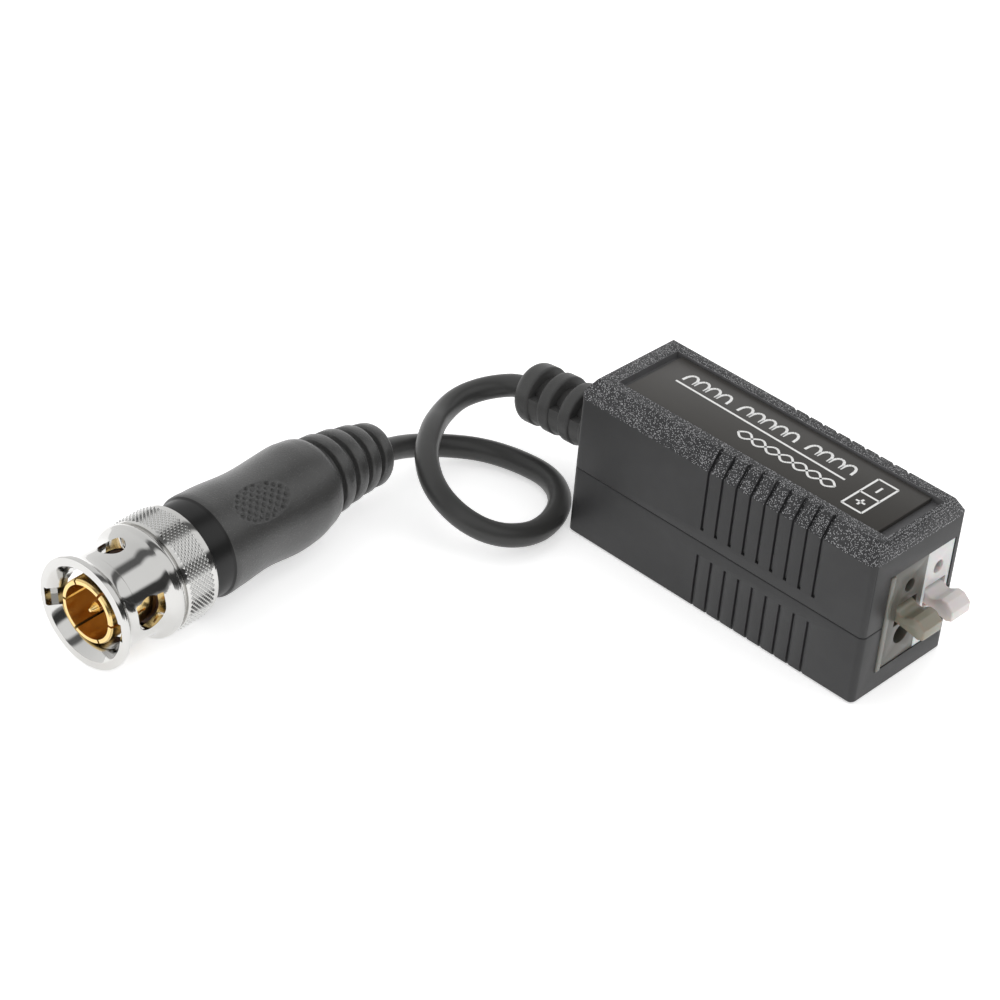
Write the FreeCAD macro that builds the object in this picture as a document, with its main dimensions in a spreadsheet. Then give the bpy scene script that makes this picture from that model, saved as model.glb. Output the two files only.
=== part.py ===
import FreeCAD, Part
import math
import os
import re

import Sketcher

# Video balun for a camera line: a small ribbed housing with a lever terminal at one end, and at the
# other a strain relief, a short coax lead and a bayonet coax plug.
# Frame: X runs along the housing from the lead to the terminal, Z is up, and the origin is the middle
# of the housing's underside. Millimetres.

V = FreeCAD.Vector

SIZES = {
    # Housing
    "body_long": 45.0,
    "body_wide": 17.0,
    "body_high": 22.0,
    "seam_high": 9.6,
    "wall": 1.2,
    "floor_thick": 1.2,
    "roof_thick": 1.2,
    "corner_round": 0.8,
    "foot_bevel": 0.35,
    "seam_bevel": 0.12,
    "side_bevel_in": 1.7,
    "side_bevel_down": 2.4,
    "front_bevel_in": 0.85,
    "front_bevel_down": 2.3,
    "rear_bevel_in": 1.0,
    "rear_bevel_down": 1.6,
    "lip_high": 1.0,
    "lip_thick": 0.5,
    "lip_play": 0.06,
    # Ribbed panels of both long sides
    "groove_count": 9,
    "groove_first": -2.05,
    "groove_pitch": 2.11,
    "groove_wide": 0.5,
    "groove_deep": 0.45,
    "groove_reach": 0.6,
    "upper_groove_low": 11.3,
    "lower_groove_high": 7.7,
    # Label plate in its recess on the roof
    "recess_deep": 0.9,
    "recess_wide": 10.6,
    "recess_rear_rim": 3.0,
    "recess_front_rim": 1.3,
    "label_long": 38.2,
    "label_play": 0.2,
    "label_thick": 0.6,
    "label_start": 0.9,
    # Circuit board on its two rails
    "rail_high": 0.9,
    "rail_wide": 1.0,
    "rail_inset": 0.3,
    "board_thick": 1.0,
    "board_play": 0.15,
    # Lever terminal, two poles
    "face_inset": 0.1,
    "block_deep": 12.0,
    "block_high": 13.6,
    "block_play": 0.06,
    "white_wide": 4.95,
    "grey_wide": 6.35,
    "plate_thick": 0.85,
    "shell_thick": 1.0,
    "white_side": 0.55,
    "grey_side": 1.0,
    "cavity_wide": 3.8,
    "guide_long": 3.6,
    "wire_radius": 1.4,
    "wire_high": 3.6,
    "probe_radius": 0.65,
    "probe_high": 10.5,
    "window_low": 5.35,
    "window_high": 8.4,
    "cavity_floor": 1.5,
    "pivot_in": 2.6,
    "pivot_high": 6.9,
    "pivot_radius": 0.65,
    "pivot_play": 0.08,
    "hub_radius": 1.25,
    "lever_wide": 3.5,
    "lever_out": 4.1,
    "lever_thick": 1.65,
    "lever_droop": 0.75,
    "lever_crest": 0.2,
    "lever_dip": 0.5,
    "cam_back": 2.8,
    "cam_down": 2.5,
    "cam_thick": 0.95,
    "bar_thick": 0.5,
    "strip_thick": 0.3,
    "strip_high": 7.9,
    "strip_lean": 1.6,
    "strip_round": 1.0,
    "strip_tip_in": 4.9,
    "metal_wide": 3.2,
    "seat_gap": 0.05,
    "pin_side": 0.8,
    "pin_down": 1.7,
    "pin_front": 4.7,
    "pin_rear": 9.7,
    "pin_hole_radius": 0.7,
    # Transformer ring and small parts on the board
    "ring_from_block": 17.4,
    "ring_radius": 3.7,
    "ring_wide": 2.6,
    "ring_high": 2.8,
    "ring_bevel": 0.3,
    "wire_thick": 0.4,
    "wire_play": 0.1,
    "turns": 8,
    "turns_span": 105.0,
    "tube_from_block": 6.8,
    "tube_radius": 1.5,
    "tube_long": 6.0,
    "cap_long": 1.0,
    "chip_from_block": 2.2,
    "chip_long": 1.6,
    "chip_wide": 0.8,
    "chip_high": 0.8,
    "chip_pitch": 2.6,
    # Strain relief, bent down a little by the lead
    "lead_high": 10.3,
    "relief_bend": 8.1,
    "relief_radius": 3.95,
    "relief_core": 2.6,
    "relief_neck": 2.5,
    "relief_play": 0.05,
    "relief_slot": 1.6,
    "relief_pitch": 3.45,
    "relief_slots": 3,
    "relief_root": 3.85,
    "relief_last": 2.75,
    "relief_web_up": 1.5,
    "relief_web_down": 2.9,
    "relief_web_drop": 0.2,
    "relief_round": 1.1,
    "relief_flange_radius": 3.6,
    "relief_flange_thick": 1.2,
    # Two soldered leads from the strain relief down to the board
    "solder_lead_radius": 0.4,
    "solder_lead_apart": 1.6,
    "solder_lead_run": 4.6,
    "solder_lead_curve": 2.0,
    # Coax lead
    "cable_radius": 1.5,
    # Plug: place of its front face and its heading
    "plug_x": -40.46,
    "plug_y": -70.06,
    "plug_high": 7.2,
    "plug_turn": 94.0,
    # Coupling sleeve, from its front face back
    "sleeve_long": 14.75,
    "flange_radius": 7.1,
    "flange_thick": 0.7,
    "flange_foot": 3.1,
    "foot_step": 0.1,
    "barrel_radius": 6.05,
    "flare_start": 6.3,
    "flare_dip": 0.25,
    "collar_start": 8.1,
    "collar_radius": 7.15,
    "collar_end": 9.3,
    "waist_radius": 6.75,
    "knurl_start": 9.8,
    "knurl_radius": 7.15,
    "knurl_end": 14.1,
    "rim_radius": 6.75,
    "bore_radius": 4.9,
    "mouth_radius": 6.0,
    "mouth_deep": 1.4,
    "chamber_radius": 5.75,
    "chamber_start": 9.65,
    "chamber_end": 12.4,
    "track_radius": 5.65,
    "track_wide": 2.3,
    "entry_turn": 187.0,
    "entry_radius": 6.3,
    "window_at": 5.0,
    "window_radius": 2.1,
    "window_flat": 1.75,
    "lock_turn": 104.0,
    "lock_at": 5.8,
    "lock_radius": 1.65,
    # Plug body and its contacts
    "shank_radius": 4.7,
    "shank_play": 0.1,
    "shank_front": 9.2,
    "shank_rear": 14.95,
    "clip_start": 9.75,
    "clip_thick": 0.7,
    "clip_groove": 0.45,
    "clip_play": 0.05,
    "clip_gap": 40.0,
    "washer_thick": 0.35,
    "washer_band": 0.7,
    "wave_thick": 0.25,
    "waves": 3,
    "stub_radius": 2.4,
    "stub_bore": 1.3,
    "stub_end": 22.0,
    "contact_front": 0.6,
    "contact_radius": 4.05,
    "contact_wall": 0.6,
    "contact_base_radius": 4.6,
    "contact_base_long": 0.8,
    "contact_slots": 6,
    "slot_wide": 0.3,
    "slot_long": 5.2,
    "gasket_long": 0.9,
    "gasket_radius": 4.6,
    "insulator_front": 5.6,
    "insulator_rear": 13.4,
    "fit_play": 0.02,
    "needle_radius": 0.675,
    "needle_front": 1.1,
    "needle_point": 0.9,
    "needle_rear": 16.2,
    "needle_head": 0.95,
    "ferrule_radius": 3.4,
    "ferrule_wall": 0.5,
    "ferrule_end": 22.6,
    # Boot
    "boot_front": 15.05,
    "boot_lip_radius": 6.2,
    "boot_lip_end": 18.2,
    "boot_step": 0.2,
    "boot_radius": 6.5,
    "boot_grip_end": 24.2,
    "boot_waist_start": 28.2,
    "boot_waist_radius": 6.3,
    "boot_shoulder": 34.0,
    "boot_shoulder_drop": 0.6,
    "boot_neck_start": 37.4,
    "boot_neck_radius": 5.5,
    "neck_long": 10.7,
    "neck_bend": 14.0,
    "neck_rings": 4,
    "neck_slot": 1.1,
    "neck_first_radius": 5.15,
    "neck_step": 0.35,
    "neck_core_drop": 0.9,
}

# Points of the lead's route, chosen along the lead as it lies: from the strain relief's end, once over
# itself and round in a loop on the surface, into the end of the boot's neck.
LEAD_ROUTE = [
    (-42.0, -1.0, 8.1),
    (-43.8, -3.3, 7.5),
    (-44.4, -6.5, 7.2),
    (-43.4, -10.3, 7.0),
    (-40.9, -14.5, 7.9),
    (-37.4, -19.1, 7.8),
    (-32.8, -22.0, 6.7),
    (-28.1, -22.0, 4.9),
    (-24.6, -19.5, 3.1),
    (-22.8, -15.1, 2.0),
    (-23.4, -10.5, 1.5),
    (-25.7, -6.1, 1.5),
    (-30.0, -3.6, 1.5),
    (-35.3, -4.1, 1.5),
    (-39.9, -6.1, 1.7),
    (-43.0, -9.9, 2.3),
    (-44.3, -14.2, 3.5),
]
LEAD_START_RUN = 2.1
LEAD_END_RUN = 3.96
ARC_SHARE = 0.45

doc = FreeCAD.newDocument("video_balun")
sheet = doc.addObject("Spreadsheet::Sheet", "sizes")
for row, (name, value) in enumerate(SIZES.items(), 1):
    sheet.set("A%d" % row, name)
    sheet.set("B%d" % row, str(value))
    sheet.setAlias("B%d" % row, name)
doc.recompute()

NAMES = re.compile(r"\b(%s)\b" % "|".join(SIZES))

# Places that several pieces share, as expressions of the sizes above
FRONT = "(body_long / 2)"
FACE = "(body_long / 2 - face_inset)"
BOARD_LOW = "(floor_thick + rail_high)"
BLOCK_LOW = "(floor_thick + rail_high + board_thick)"
WHITE_RIGHT = "(body_wide / 2 - wall - block_play)"
WHITE_LEFT = "(body_wide / 2 - wall - block_play - white_wide)"
GREY_LEFT = "(body_wide / 2 - wall - block_play - white_wide - grey_wide)"
PLATE_LEFT = "(body_wide / 2 - wall - block_play - white_wide - grey_wide - plate_thick)"
ROOF_IN = "(body_high - recess_deep - roof_thick)"
RECESS_REAR = "(recess_rear_rim - body_long / 2)"
RECESS_FRONT = "(body_long / 2 - recess_front_rim)"
RELIEF_LONG = "(relief_root + relief_slot + (relief_slots - 1) * relief_pitch + relief_last)"


def bind(thing, place, words):
    """Ties a property to an expression of the named sizes."""
    thing.setExpression(place, NAMES.sub(r"sizes.\1", words))


def place(thing, x="0", y="0", z="0", axis=V(0, 0, 1), turn=None):
    """Puts a thing at a point, turned about an axis, both tied to the sheet."""
    thing.Placement = FreeCAD.Placement(V(0, 0, 0), FreeCAD.Rotation(axis, 1.0))
    bind(thing, "Placement.Base.x", x)
    bind(thing, "Placement.Base.y", y)
    bind(thing, "Placement.Base.z", z)
    bind(thing, "Placement.Rotation.Angle", turn or "0")
    return thing


def body(label):
    """An empty body for one piece."""
    return doc.addObject("PartDesign::Body", label)


def sketch(owner, role, lift="0"):
    """A sketch on one of the body's own planes, lifted along the plane's normal."""
    drawn = owner.newObject("Sketcher::SketchObject", owner.Name + "_sketch")
    support = [plane for plane in owner.Origin.OriginFeatures if plane.Role == role]
    drawn.AttachmentSupport = (support[0], [""])
    drawn.MapMode = "FlatFace"
    bind(drawn, "AttachmentOffset.Base.z", lift)
    return drawn


def tie(drawn, kind, *parts):
    """Adds a dimension whose last part is the expression of its value."""
    expression = parts[-1]
    index = drawn.addConstraint(Sketcher.Constraint(kind, *parts[:-1], 1.0))
    bind(drawn, "Constraints[%d]" % index, expression)


def outline(drawn, corners):
    """A closed outline with straight sides. Each corner is its two coordinates, as expressions."""
    first = drawn.GeometryCount
    count = len(corners)
    rough = []
    for index in range(count):
        turn = 2 * math.pi * index / count
        rough.append(V(5 * math.cos(turn), 5 * math.sin(turn), 0))
    for index in range(count):
        drawn.addGeometry(Part.LineSegment(rough[index], rough[(index + 1) % count]))
    for index, (across, up) in enumerate(corners):
        following = first + (index + 1) % count
        drawn.addConstraint(Sketcher.Constraint("Coincident", first + index, 2, following, 1))
        tie(drawn, "DistanceX", -1, 1, first + index, 1, across)
        tie(drawn, "DistanceY", -1, 1, first + index, 1, up)
    return drawn


def oblong(drawn, left, low, right, high):
    """A rectangle between two corners."""
    return outline(drawn, [(left, low), (right, low), (right, high), (left, high)])


def ring_mark(drawn, across, up, radius):
    """A circle at a point."""
    index = drawn.addGeometry(Part.Circle(V(1, 1, 0), V(0, 0, 1), 1.0))
    tie(drawn, "Radius", index, radius)
    tie(drawn, "DistanceX", -1, 1, index, 3, across)
    tie(drawn, "DistanceY", -1, 1, index, 3, up)
    return drawn


def feature(owner, kind, drawn, **words):
    """A feature of a body made from a sketch."""
    made = owner.newObject("PartDesign::" + kind, owner.Name + "_" + kind.lower())
    made.Profile = drawn
    for name, expression in words.items():
        bind(made, name, expression)
    return made


def pad(owner, drawn, length):
    """Adds the sketch's area, along the sketch plane's normal."""
    return feature(owner, "Pad", drawn, Length=length)


def pocket(owner, drawn, depth, along=False):
    """Cuts the sketch's area, against the plane's normal, or along it."""
    made = feature(owner, "Pocket", drawn, Length=depth)
    made.Reversed = along
    return made


def repeat(owner, original, role, count, step):
    """Copies a feature along one of the body's axes at an even step."""
    made = owner.newObject("PartDesign::LinearPattern", owner.Name + "_row")
    made.Originals = [original]
    axis = [line for line in owner.Origin.OriginFeatures if line.Role == role]
    made.Direction = (axis[0], [""])
    made.Mode = "Spacing"
    bind(made, "Offset", step)
    bind(made, "Occurrences", count)
    owner.Tip = made
    return made


def around(owner, original, role, count):
    """Copies a feature evenly round one of the body's axes."""
    made = owner.newObject("PartDesign::PolarPattern", owner.Name + "_circle")
    made.Originals = [original]
    axis = [line for line in owner.Origin.OriginFeatures if line.Role == role]
    made.Axis = (axis[0], [""])
    made.Angle = 360
    bind(made, "Occurrences", count)
    owner.Tip = made
    return made


def edges(shape, wanted):
    """Names of the edges whose ends satisfy a test."""
    found = []
    for index, edge in enumerate(shape.Edges, 1):
        ends = [vertex.Point for vertex in edge.Vertexes]
        if len(ends) == 2 and wanted(ends[0], ends[1]):
            found.append("Edge%d" % index)
    return found


def dress(owner, kind, base, names, size):
    """Rounds or bevels edges of a body's last feature."""
    made = owner.newObject("PartDesign::" + kind, owner.Name + "_" + kind.lower())
    made.Base = (base, names)
    bind(made, "Radius" if kind == "Fillet" else "Size", size)
    return made


def size(name):
    """The value of a named size."""
    return sheet.get(name)


def near(first, second):
    """Whether two lengths are the same."""
    return abs(first - second) < 1e-4


def upright_corner(first, second):
    """Whether an edge is one of the housing's four upright outer corners."""
    outer = abs(abs(first.x) - size("body_long") / 2) < 1e-3
    outer = outer and abs(abs(first.y) - size("body_wide") / 2) < 1e-3
    return outer and near(first.x, second.x) and near(first.y, second.y)


# Housing


def opening(owner):
    """The terminal's window in the front wall, through both shells."""
    drawn = sketch(owner, "YZ_Plane", FRONT + " + 1")
    oblong(
        drawn,
        PLATE_LEFT + " - block_play",
        BLOCK_LOW + " - block_play",
        WHITE_RIGHT + " + block_play",
        BLOCK_LOW + " + block_high + block_play",
    )
    pocket(owner, drawn, "wall + 1.5")


def lead_hole(owner):
    """The round hole in the rear wall that holds the strain relief's neck."""
    drawn = sketch(owner, "YZ_Plane", "wall + 0.5 - body_long / 2")
    ring_mark(drawn, "0", "lead_high", "relief_neck + relief_play")
    pocket(owner, drawn, "wall + 1.5")


def upper_shell():
    owner = body("housing_upper_shell")
    drawn = sketch(owner, "YZ_Plane", "-body_long / 2")
    outline(
        drawn,
        [
            ("-body_wide / 2", "seam_high"),
            ("body_wide / 2", "seam_high"),
            ("body_wide / 2", "body_high - side_bevel_down"),
            ("body_wide / 2 - side_bevel_in", "body_high"),
            ("side_bevel_in - body_wide / 2", "body_high"),
            ("-body_wide / 2", "body_high - side_bevel_down"),
        ],
    )
    pad(owner, drawn, "body_long")
    # Bevels across both ends of the roof, cut square to the length
    drawn = sketch(owner, "XZ_Plane", "-body_wide / 2 - 1")
    outline(
        drawn,
        [
            (FRONT + " - front_bevel_in", "body_high"),
            (FRONT + " + front_bevel_in", "body_high - 2 * front_bevel_down"),
            (FRONT + " + front_bevel_in", "body_high"),
        ],
    )
    pocket(owner, drawn, "body_wide + 2").Reversed = True
    drawn = sketch(owner, "XZ_Plane", "-body_wide / 2 - 1")
    outline(
        drawn,
        [
            ("rear_bevel_in - body_long / 2", "body_high"),
            ("-body_long / 2 - rear_bevel_in", "body_high - 2 * rear_bevel_down"),
            ("-body_long / 2 - rear_bevel_in", "body_high"),
        ],
    )
    beveled = pocket(owner, drawn, "body_wide + 2")
    beveled.Reversed = True
    doc.recompute()
    rounded = dress(owner, "Fillet", beveled, edges(beveled.Shape, upright_corner), "corner_round")
    doc.recompute()

    def seam_edge(first, second):
        level = near(first.z, size("seam_high")) and near(second.z, size("seam_high"))
        return level

    dress(owner, "Chamfer", rounded, edges(rounded.Shape, seam_edge), "seam_bevel")
    # Room inside, open below
    drawn = sketch(owner, "XY_Plane", "seam_high")
    oblong(
        drawn,
        "wall - body_long / 2",
        "wall - body_wide / 2",
        "body_long / 2 - wall",
        "body_wide / 2 - wall",
    )
    pocket(owner, drawn, ROOF_IN + " - seam_high", along=True)
    # Rebate round the inside of the seam, for the lower shell's lip
    reach = "(wall - lip_thick - lip_play)"
    drawn = sketch(owner, "XY_Plane", "seam_high")
    oblong(
        drawn,
        reach + " - body_long / 2",
        reach + " - body_wide / 2",
        "body_long / 2 - " + reach,
        "body_wide / 2 - " + reach,
    )
    pocket(owner, drawn, "lip_high + lip_play", along=True)
    # Recess for the label plate
    drawn = sketch(owner, "XY_Plane", "body_high + 0.5")
    oblong(drawn, RECESS_REAR, "-recess_wide / 2", RECESS_FRONT, "recess_wide / 2")
    pocket(owner, drawn, "recess_deep + 0.5")
    opening(owner)
    lead_hole(owner)
    # Grooves of the ribbed panels. Each follows the side and the bevel at an even depth.
    corner_drop = "(groove_reach - groove_deep) * side_bevel_down / side_bevel_in"
    drawn = sketch(owner, "YZ_Plane", "groove_first + groove_wide / 2")
    for side in ("-", ""):
        outward = side + "(body_wide / 2 + 1)"
        inward = side + "(body_wide / 2 - groove_deep)"
        tip = side + "(body_wide / 2 - side_bevel_in - groove_reach)"
        outline(
            drawn,
            [
                (outward, "upper_groove_low"),
                (inward, "upper_groove_low"),
                (inward, "body_high - side_bevel_down - " + corner_drop),
                (tip, "body_high"),
                (tip, "body_high + 1"),
                (outward, "body_high + 1"),
            ],
        )
    cut = pocket(owner, drawn, "groove_wide")
    repeat(owner, cut, "X_Axis", "groove_count", "groove_pitch")
    return owner


def lower_shell():
    owner = body("housing_lower_shell")
    drawn = sketch(owner, "YZ_Plane", "-body_long / 2")
    oblong(drawn, "-body_wide / 2", "0", "body_wide / 2", "seam_high")
    block = pad(owner, drawn, "body_long")
    doc.recompute()
    rounded = dress(owner, "Fillet", block, edges(block.Shape, upright_corner), "corner_round")
    doc.recompute()

    def foot_edge(first, second):
        return near(first.z, 0) and near(second.z, 0)

    beveled = dress(owner, "Chamfer", rounded, edges(rounded.Shape, foot_edge), "foot_bevel")
    doc.recompute()

    def seam_edge(first, second):
        return near(first.z, size("seam_high")) and near(second.z, size("seam_high"))

    dress(owner, "Chamfer", beveled, edges(beveled.Shape, seam_edge), "seam_bevel")
    # Lip that stands up inside the upper shell
    drawn = sketch(owner, "XY_Plane", "seam_high - 0.5")
    reach = "(wall - lip_thick)"
    oblong(
        drawn,
        reach + " - body_long / 2",
        reach + " - body_wide / 2",
        "body_long / 2 - " + reach,
        "body_wide / 2 - " + reach,
    )
    pad(owner, drawn, "lip_high + 0.5")
    # Room inside, open above
    drawn = sketch(owner, "XY_Plane", "seam_high + lip_high + 1")
    oblong(
        drawn,
        "wall - body_long / 2",
        "wall - body_wide / 2",
        "body_long / 2 - wall",
        "body_wide / 2 - wall",
    )
    pocket(owner, drawn, "seam_high + lip_high + 1 - floor_thick")
    # Two rails that carry the board
    for side in ("-", ""):
        drawn = sketch(owner, "XY_Plane", "floor_thick - 0.2")
        inner = side + "(body_wide / 2 - wall - rail_inset - rail_wide)"
        outer = side + "(body_wide / 2 - wall - rail_inset)"
        oblong(drawn, "wall - body_long / 2 + 1", inner, "body_long / 2 - wall - 1", outer)
        pad(owner, drawn, "rail_high + 0.2")
    opening(owner)
    lead_hole(owner)
    drawn = sketch(owner, "YZ_Plane", "groove_first + groove_wide / 2")
    for side in ("-", ""):
        outward = side + "(body_wide / 2 + 1)"
        inward = side + "(body_wide / 2 - groove_deep)"
        oblong(drawn, outward, "-1", inward, "lower_groove_high")
    cut = pocket(owner, drawn, "groove_wide")
    repeat(owner, cut, "X_Axis", "groove_count", "groove_pitch")
    return owner


def label_plate():
    owner = body("label_plate")
    drawn = sketch(owner, "XY_Plane", "body_high - recess_deep")
    start = RECESS_REAR + " + label_start"
    half = "(recess_wide / 2 - label_play)"
    oblong(drawn, start, "-" + half, start + " + label_long", half)
    pad(owner, drawn, "label_thick")
    return owner


# Lever terminal


def pole_middle(colour):
    """Across position of a pole's middle: halfway over its inner room."""
    right = WHITE_RIGHT if colour == "white" else WHITE_LEFT
    return "(%s - %s_side - cavity_wide / 2)" % (right, colour)


def terminal_body(colour):
    """One pole's moulding: open towards -Y, where its neighbour or the end plate closes it."""
    owner = body("terminal_body_" + colour)
    left = WHITE_LEFT if colour == "white" else GREY_LEFT
    wide = colour + "_wide"
    middle = pole_middle(colour)
    drawn = sketch(owner, "XZ_Plane", "-(%s + %s)" % (left, wide))
    oblong(drawn, FACE + " - block_deep", BLOCK_LOW, FACE, BLOCK_LOW + " + block_high")
    pad(owner, drawn, wide)
    # Inner room: behind the front wall, and further back behind the wire guide
    drawn = sketch(owner, "XZ_Plane", "-" + left)
    roof = BLOCK_LOW + " + block_high - shell_thick"
    step = BLOCK_LOW + " + window_low - 0.2"
    outline(
        drawn,
        [
            (FACE + " - block_deep + shell_thick", BLOCK_LOW + " + cavity_floor"),
            (FACE + " - guide_long", BLOCK_LOW + " + cavity_floor"),
            (FACE + " - guide_long", step),
            (FACE + " - shell_thick", step),
            (FACE + " - shell_thick", roof),
            (FACE + " - block_deep + shell_thick", roof),
        ],
    )
    pocket(owner, drawn, "%s - %s_side" % (wide, colour))
    # Wire entry, probe hole and lever window in the face
    drawn = sketch(owner, "YZ_Plane", FACE)
    ring_mark(drawn, middle, BLOCK_LOW + " + wire_high", "wire_radius")
    pocket(owner, drawn, "guide_long + 0.5")
    drawn = sketch(owner, "YZ_Plane", FACE)
    ring_mark(drawn, middle, BLOCK_LOW + " + probe_high", "probe_radius")
    pocket(owner, drawn, "shell_thick + 0.5")
    drawn = sketch(owner, "YZ_Plane", FACE)
    oblong(
        drawn,
        middle + " - cavity_wide / 2",
        BLOCK_LOW + " + window_low",
        middle + " + cavity_wide / 2",
        BLOCK_LOW + " + window_high",
    )
    pocket(owner, drawn, "shell_thick + 0.5")
    # Slots in the floor for the solder pins
    for at in ("pin_front", "pin_rear"):
        drawn = sketch(owner, "XY_Plane", BLOCK_LOW + " + cavity_floor + 0.5")
        oblong(
            drawn,
            "%s - %s - pin_side / 2 - 0.2" % (FACE, at),
            middle + " - pin_side / 2 - 0.2",
            "%s - %s + pin_side / 2 + 0.2" % (FACE, at),
            middle + " + pin_side / 2 + 0.2",
        )
        pocket(owner, drawn, "cavity_floor + 1")
    # Pivot that the lever turns on, moulded to the side wall
    drawn = sketch(owner, "XZ_Plane", "-(%s + cavity_wide / 2 + 0.2)" % middle)
    ring_mark(drawn, FACE + " - pivot_in", BLOCK_LOW + " + pivot_high", "pivot_radius")
    pad(owner, drawn, "cavity_wide + 0.2")
    return owner


def lever(colour):
    """The lever that opens one pole's clamp: arm outside, hub on the pivot, cam inside."""
    owner = body("lever_" + colour)
    start = "-(%s + lever_wide / 2)" % pole_middle(colour)
    hub_x = FACE + " - pivot_in"
    hub_z = BLOCK_LOW + " + pivot_high"
    arm_low = "(%s - lever_thick / 2)" % hub_z
    arm_high = "(%s + lever_thick / 2)" % hub_z
    drawn = sketch(owner, "XZ_Plane", start)
    outline(
        drawn,
        [
            (hub_x, arm_low),
            (FACE + " + lever_out * 0.05", arm_low),
            (FACE + " + lever_out * 0.8", arm_low + " - lever_droop"),
            (FACE + " + lever_out", arm_low + " - lever_droop * 0.6"),
            (FACE + " + lever_out", arm_high + " - lever_droop"),
            (FACE + " + lever_out * 0.75", arm_high + " + lever_crest * 0.5"),
            (FACE + " + lever_out * 0.55", arm_high + " + lever_crest"),
            (FACE + " + lever_out * 0.42", arm_high + " - lever_crest * 0.5"),
            (FACE + " + lever_out * 0.27", arm_high + " - lever_dip"),
            (FACE + " + lever_out * 0.15", arm_high + " - lever_dip"),
            (FACE + " + lever_out * 0.02", arm_high + " - lever_dip * 0.4"),
            (FACE + " - lever_out * 0.1", arm_high),
            (hub_x, arm_high),
        ],
    )
    arm = pad(owner, drawn, "lever_wide")
    doc.recompute()
    tip = size("body_long") / 2 - size("face_inset") + size("lever_out") * 0.5

    def nose_edge(first, second):
        along = near(first.x, second.x) and near(first.z, second.z)
        return along and first.x > tip

    dress(owner, "Fillet", arm, edges(arm.Shape, nose_edge), "lever_thick * 0.15")
    drawn = sketch(owner, "XZ_Plane", start)
    ring_mark(drawn, hub_x, hub_z, "hub_radius")
    pad(owner, drawn, "lever_wide")
    drawn = sketch(owner, "XZ_Plane", start)
    outline(
        drawn,
        [
            (hub_x + " - hub_radius * 0.7", hub_z + " + hub_radius * 0.7"),
            (hub_x + " - cam_back", hub_z + " - cam_down * 0.64"),
            (hub_x + " - cam_back * 0.9", hub_z + " - cam_down"),
            (hub_x + " - cam_back * 0.9 + cam_thick", hub_z + " - cam_down * 0.96"),
            (hub_x + " - hub_radius * 0.95", hub_z + " - hub_radius * 1.1"),
            (hub_x, hub_z + " - hub_radius * 0.9"),
        ],
    )
    pad(owner, drawn, "lever_wide")
    drawn = sketch(owner, "XZ_Plane", "-(%s - lever_wide / 2 - 1)" % pole_middle(colour))
    ring_mark(drawn, hub_x, hub_z, "pivot_radius + pivot_play")
    pocket(owner, drawn, "lever_wide + 2")
    return owner


def contact_bar(colour):
    """Current bar under the wire, with two pins through the board."""
    owner = body("contact_bar_" + colour)
    middle = pole_middle(colour)
    low = "(%s + cavity_floor + seat_gap)" % BLOCK_LOW
    drawn = sketch(owner, "XZ_Plane", "-(%s + metal_wide / 2)" % middle)
    oblong(
        drawn,
        FACE + " - pin_rear - pin_side",
        low,
        FACE + " - guide_long - 0.2",
        low + " + bar_thick",
    )
    pad(owner, drawn, "metal_wide")
    for at in ("pin_front", "pin_rear"):
        drawn = sketch(owner, "XY_Plane", BLOCK_LOW + " - pin_down")
        oblong(
            drawn,
            "%s - %s - pin_side / 2" % (FACE, at),
            middle + " - pin_side / 2",
            "%s - %s + pin_side / 2" % (FACE, at),
            middle + " + pin_side / 2",
        )
        pad(owner, drawn, "pin_down + cavity_floor + seat_gap + bar_thick / 2")
    return owner


def clamp_spring(colour):
    """Bent strip that stands on the bar's rear end and presses its free end on the bar."""
    owner = body("clamp_spring_" + colour)
    low = "(%s + cavity_floor + 2 * seat_gap + bar_thick)" % BLOCK_LOW
    rear = "(%s - pin_rear - pin_side)" % FACE
    tip = "(%s - strip_tip_in)" % FACE
    high = "(%s + strip_high)" % low
    slant = "(%s - strip_lean)" % tip
    drawn = sketch(owner, "XZ_Plane", "-(%s + metal_wide / 2)" % pole_middle(colour))
    outline(
        drawn,
        [
            (tip, low),
            (slant, high + " - strip_round"),
            (slant + " - strip_round * 0.4", high + " - strip_round * 0.3"),
            (slant + " - strip_round * 1.1", high),
            (rear + " + strip_round", high),
            (rear + " + strip_round * 0.3", high + " - strip_round * 0.3"),
            (rear, high + " - strip_round"),
            (rear, low),
            (rear + " + strip_thick", low),
            (rear + " + strip_thick", high + " - strip_round - strip_thick / 3"),
            (
                rear + " + strip_round * 0.3 + strip_thick * 0.8",
                high + " - strip_round * 0.3 - strip_thick * 0.8",
            ),
            (rear + " + strip_round + strip_thick / 3", high + " - strip_thick"),
            (slant + " - strip_round * 1.1 - strip_thick / 3", high + " - strip_thick"),
            (
                slant + " - strip_round * 0.4 - strip_thick * 0.8",
                high + " - strip_round * 0.3 - strip_thick * 0.8",
            ),
            (slant + " - strip_thick", high + " - strip_round - strip_thick / 3"),
            (tip + " - strip_thick", low),
        ],
    )
    pad(owner, drawn, "metal_wide")
    return owner


def end_plate():
    owner = body("terminal_end_plate")
    drawn = sketch(owner, "XZ_Plane", "-" + GREY_LEFT)
    oblong(drawn, FACE + " - block_deep", BLOCK_LOW, FACE, BLOCK_LOW + " + block_high")
    pad(owner, drawn, "plate_thick")
    return owner


# Board and what it carries


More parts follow.
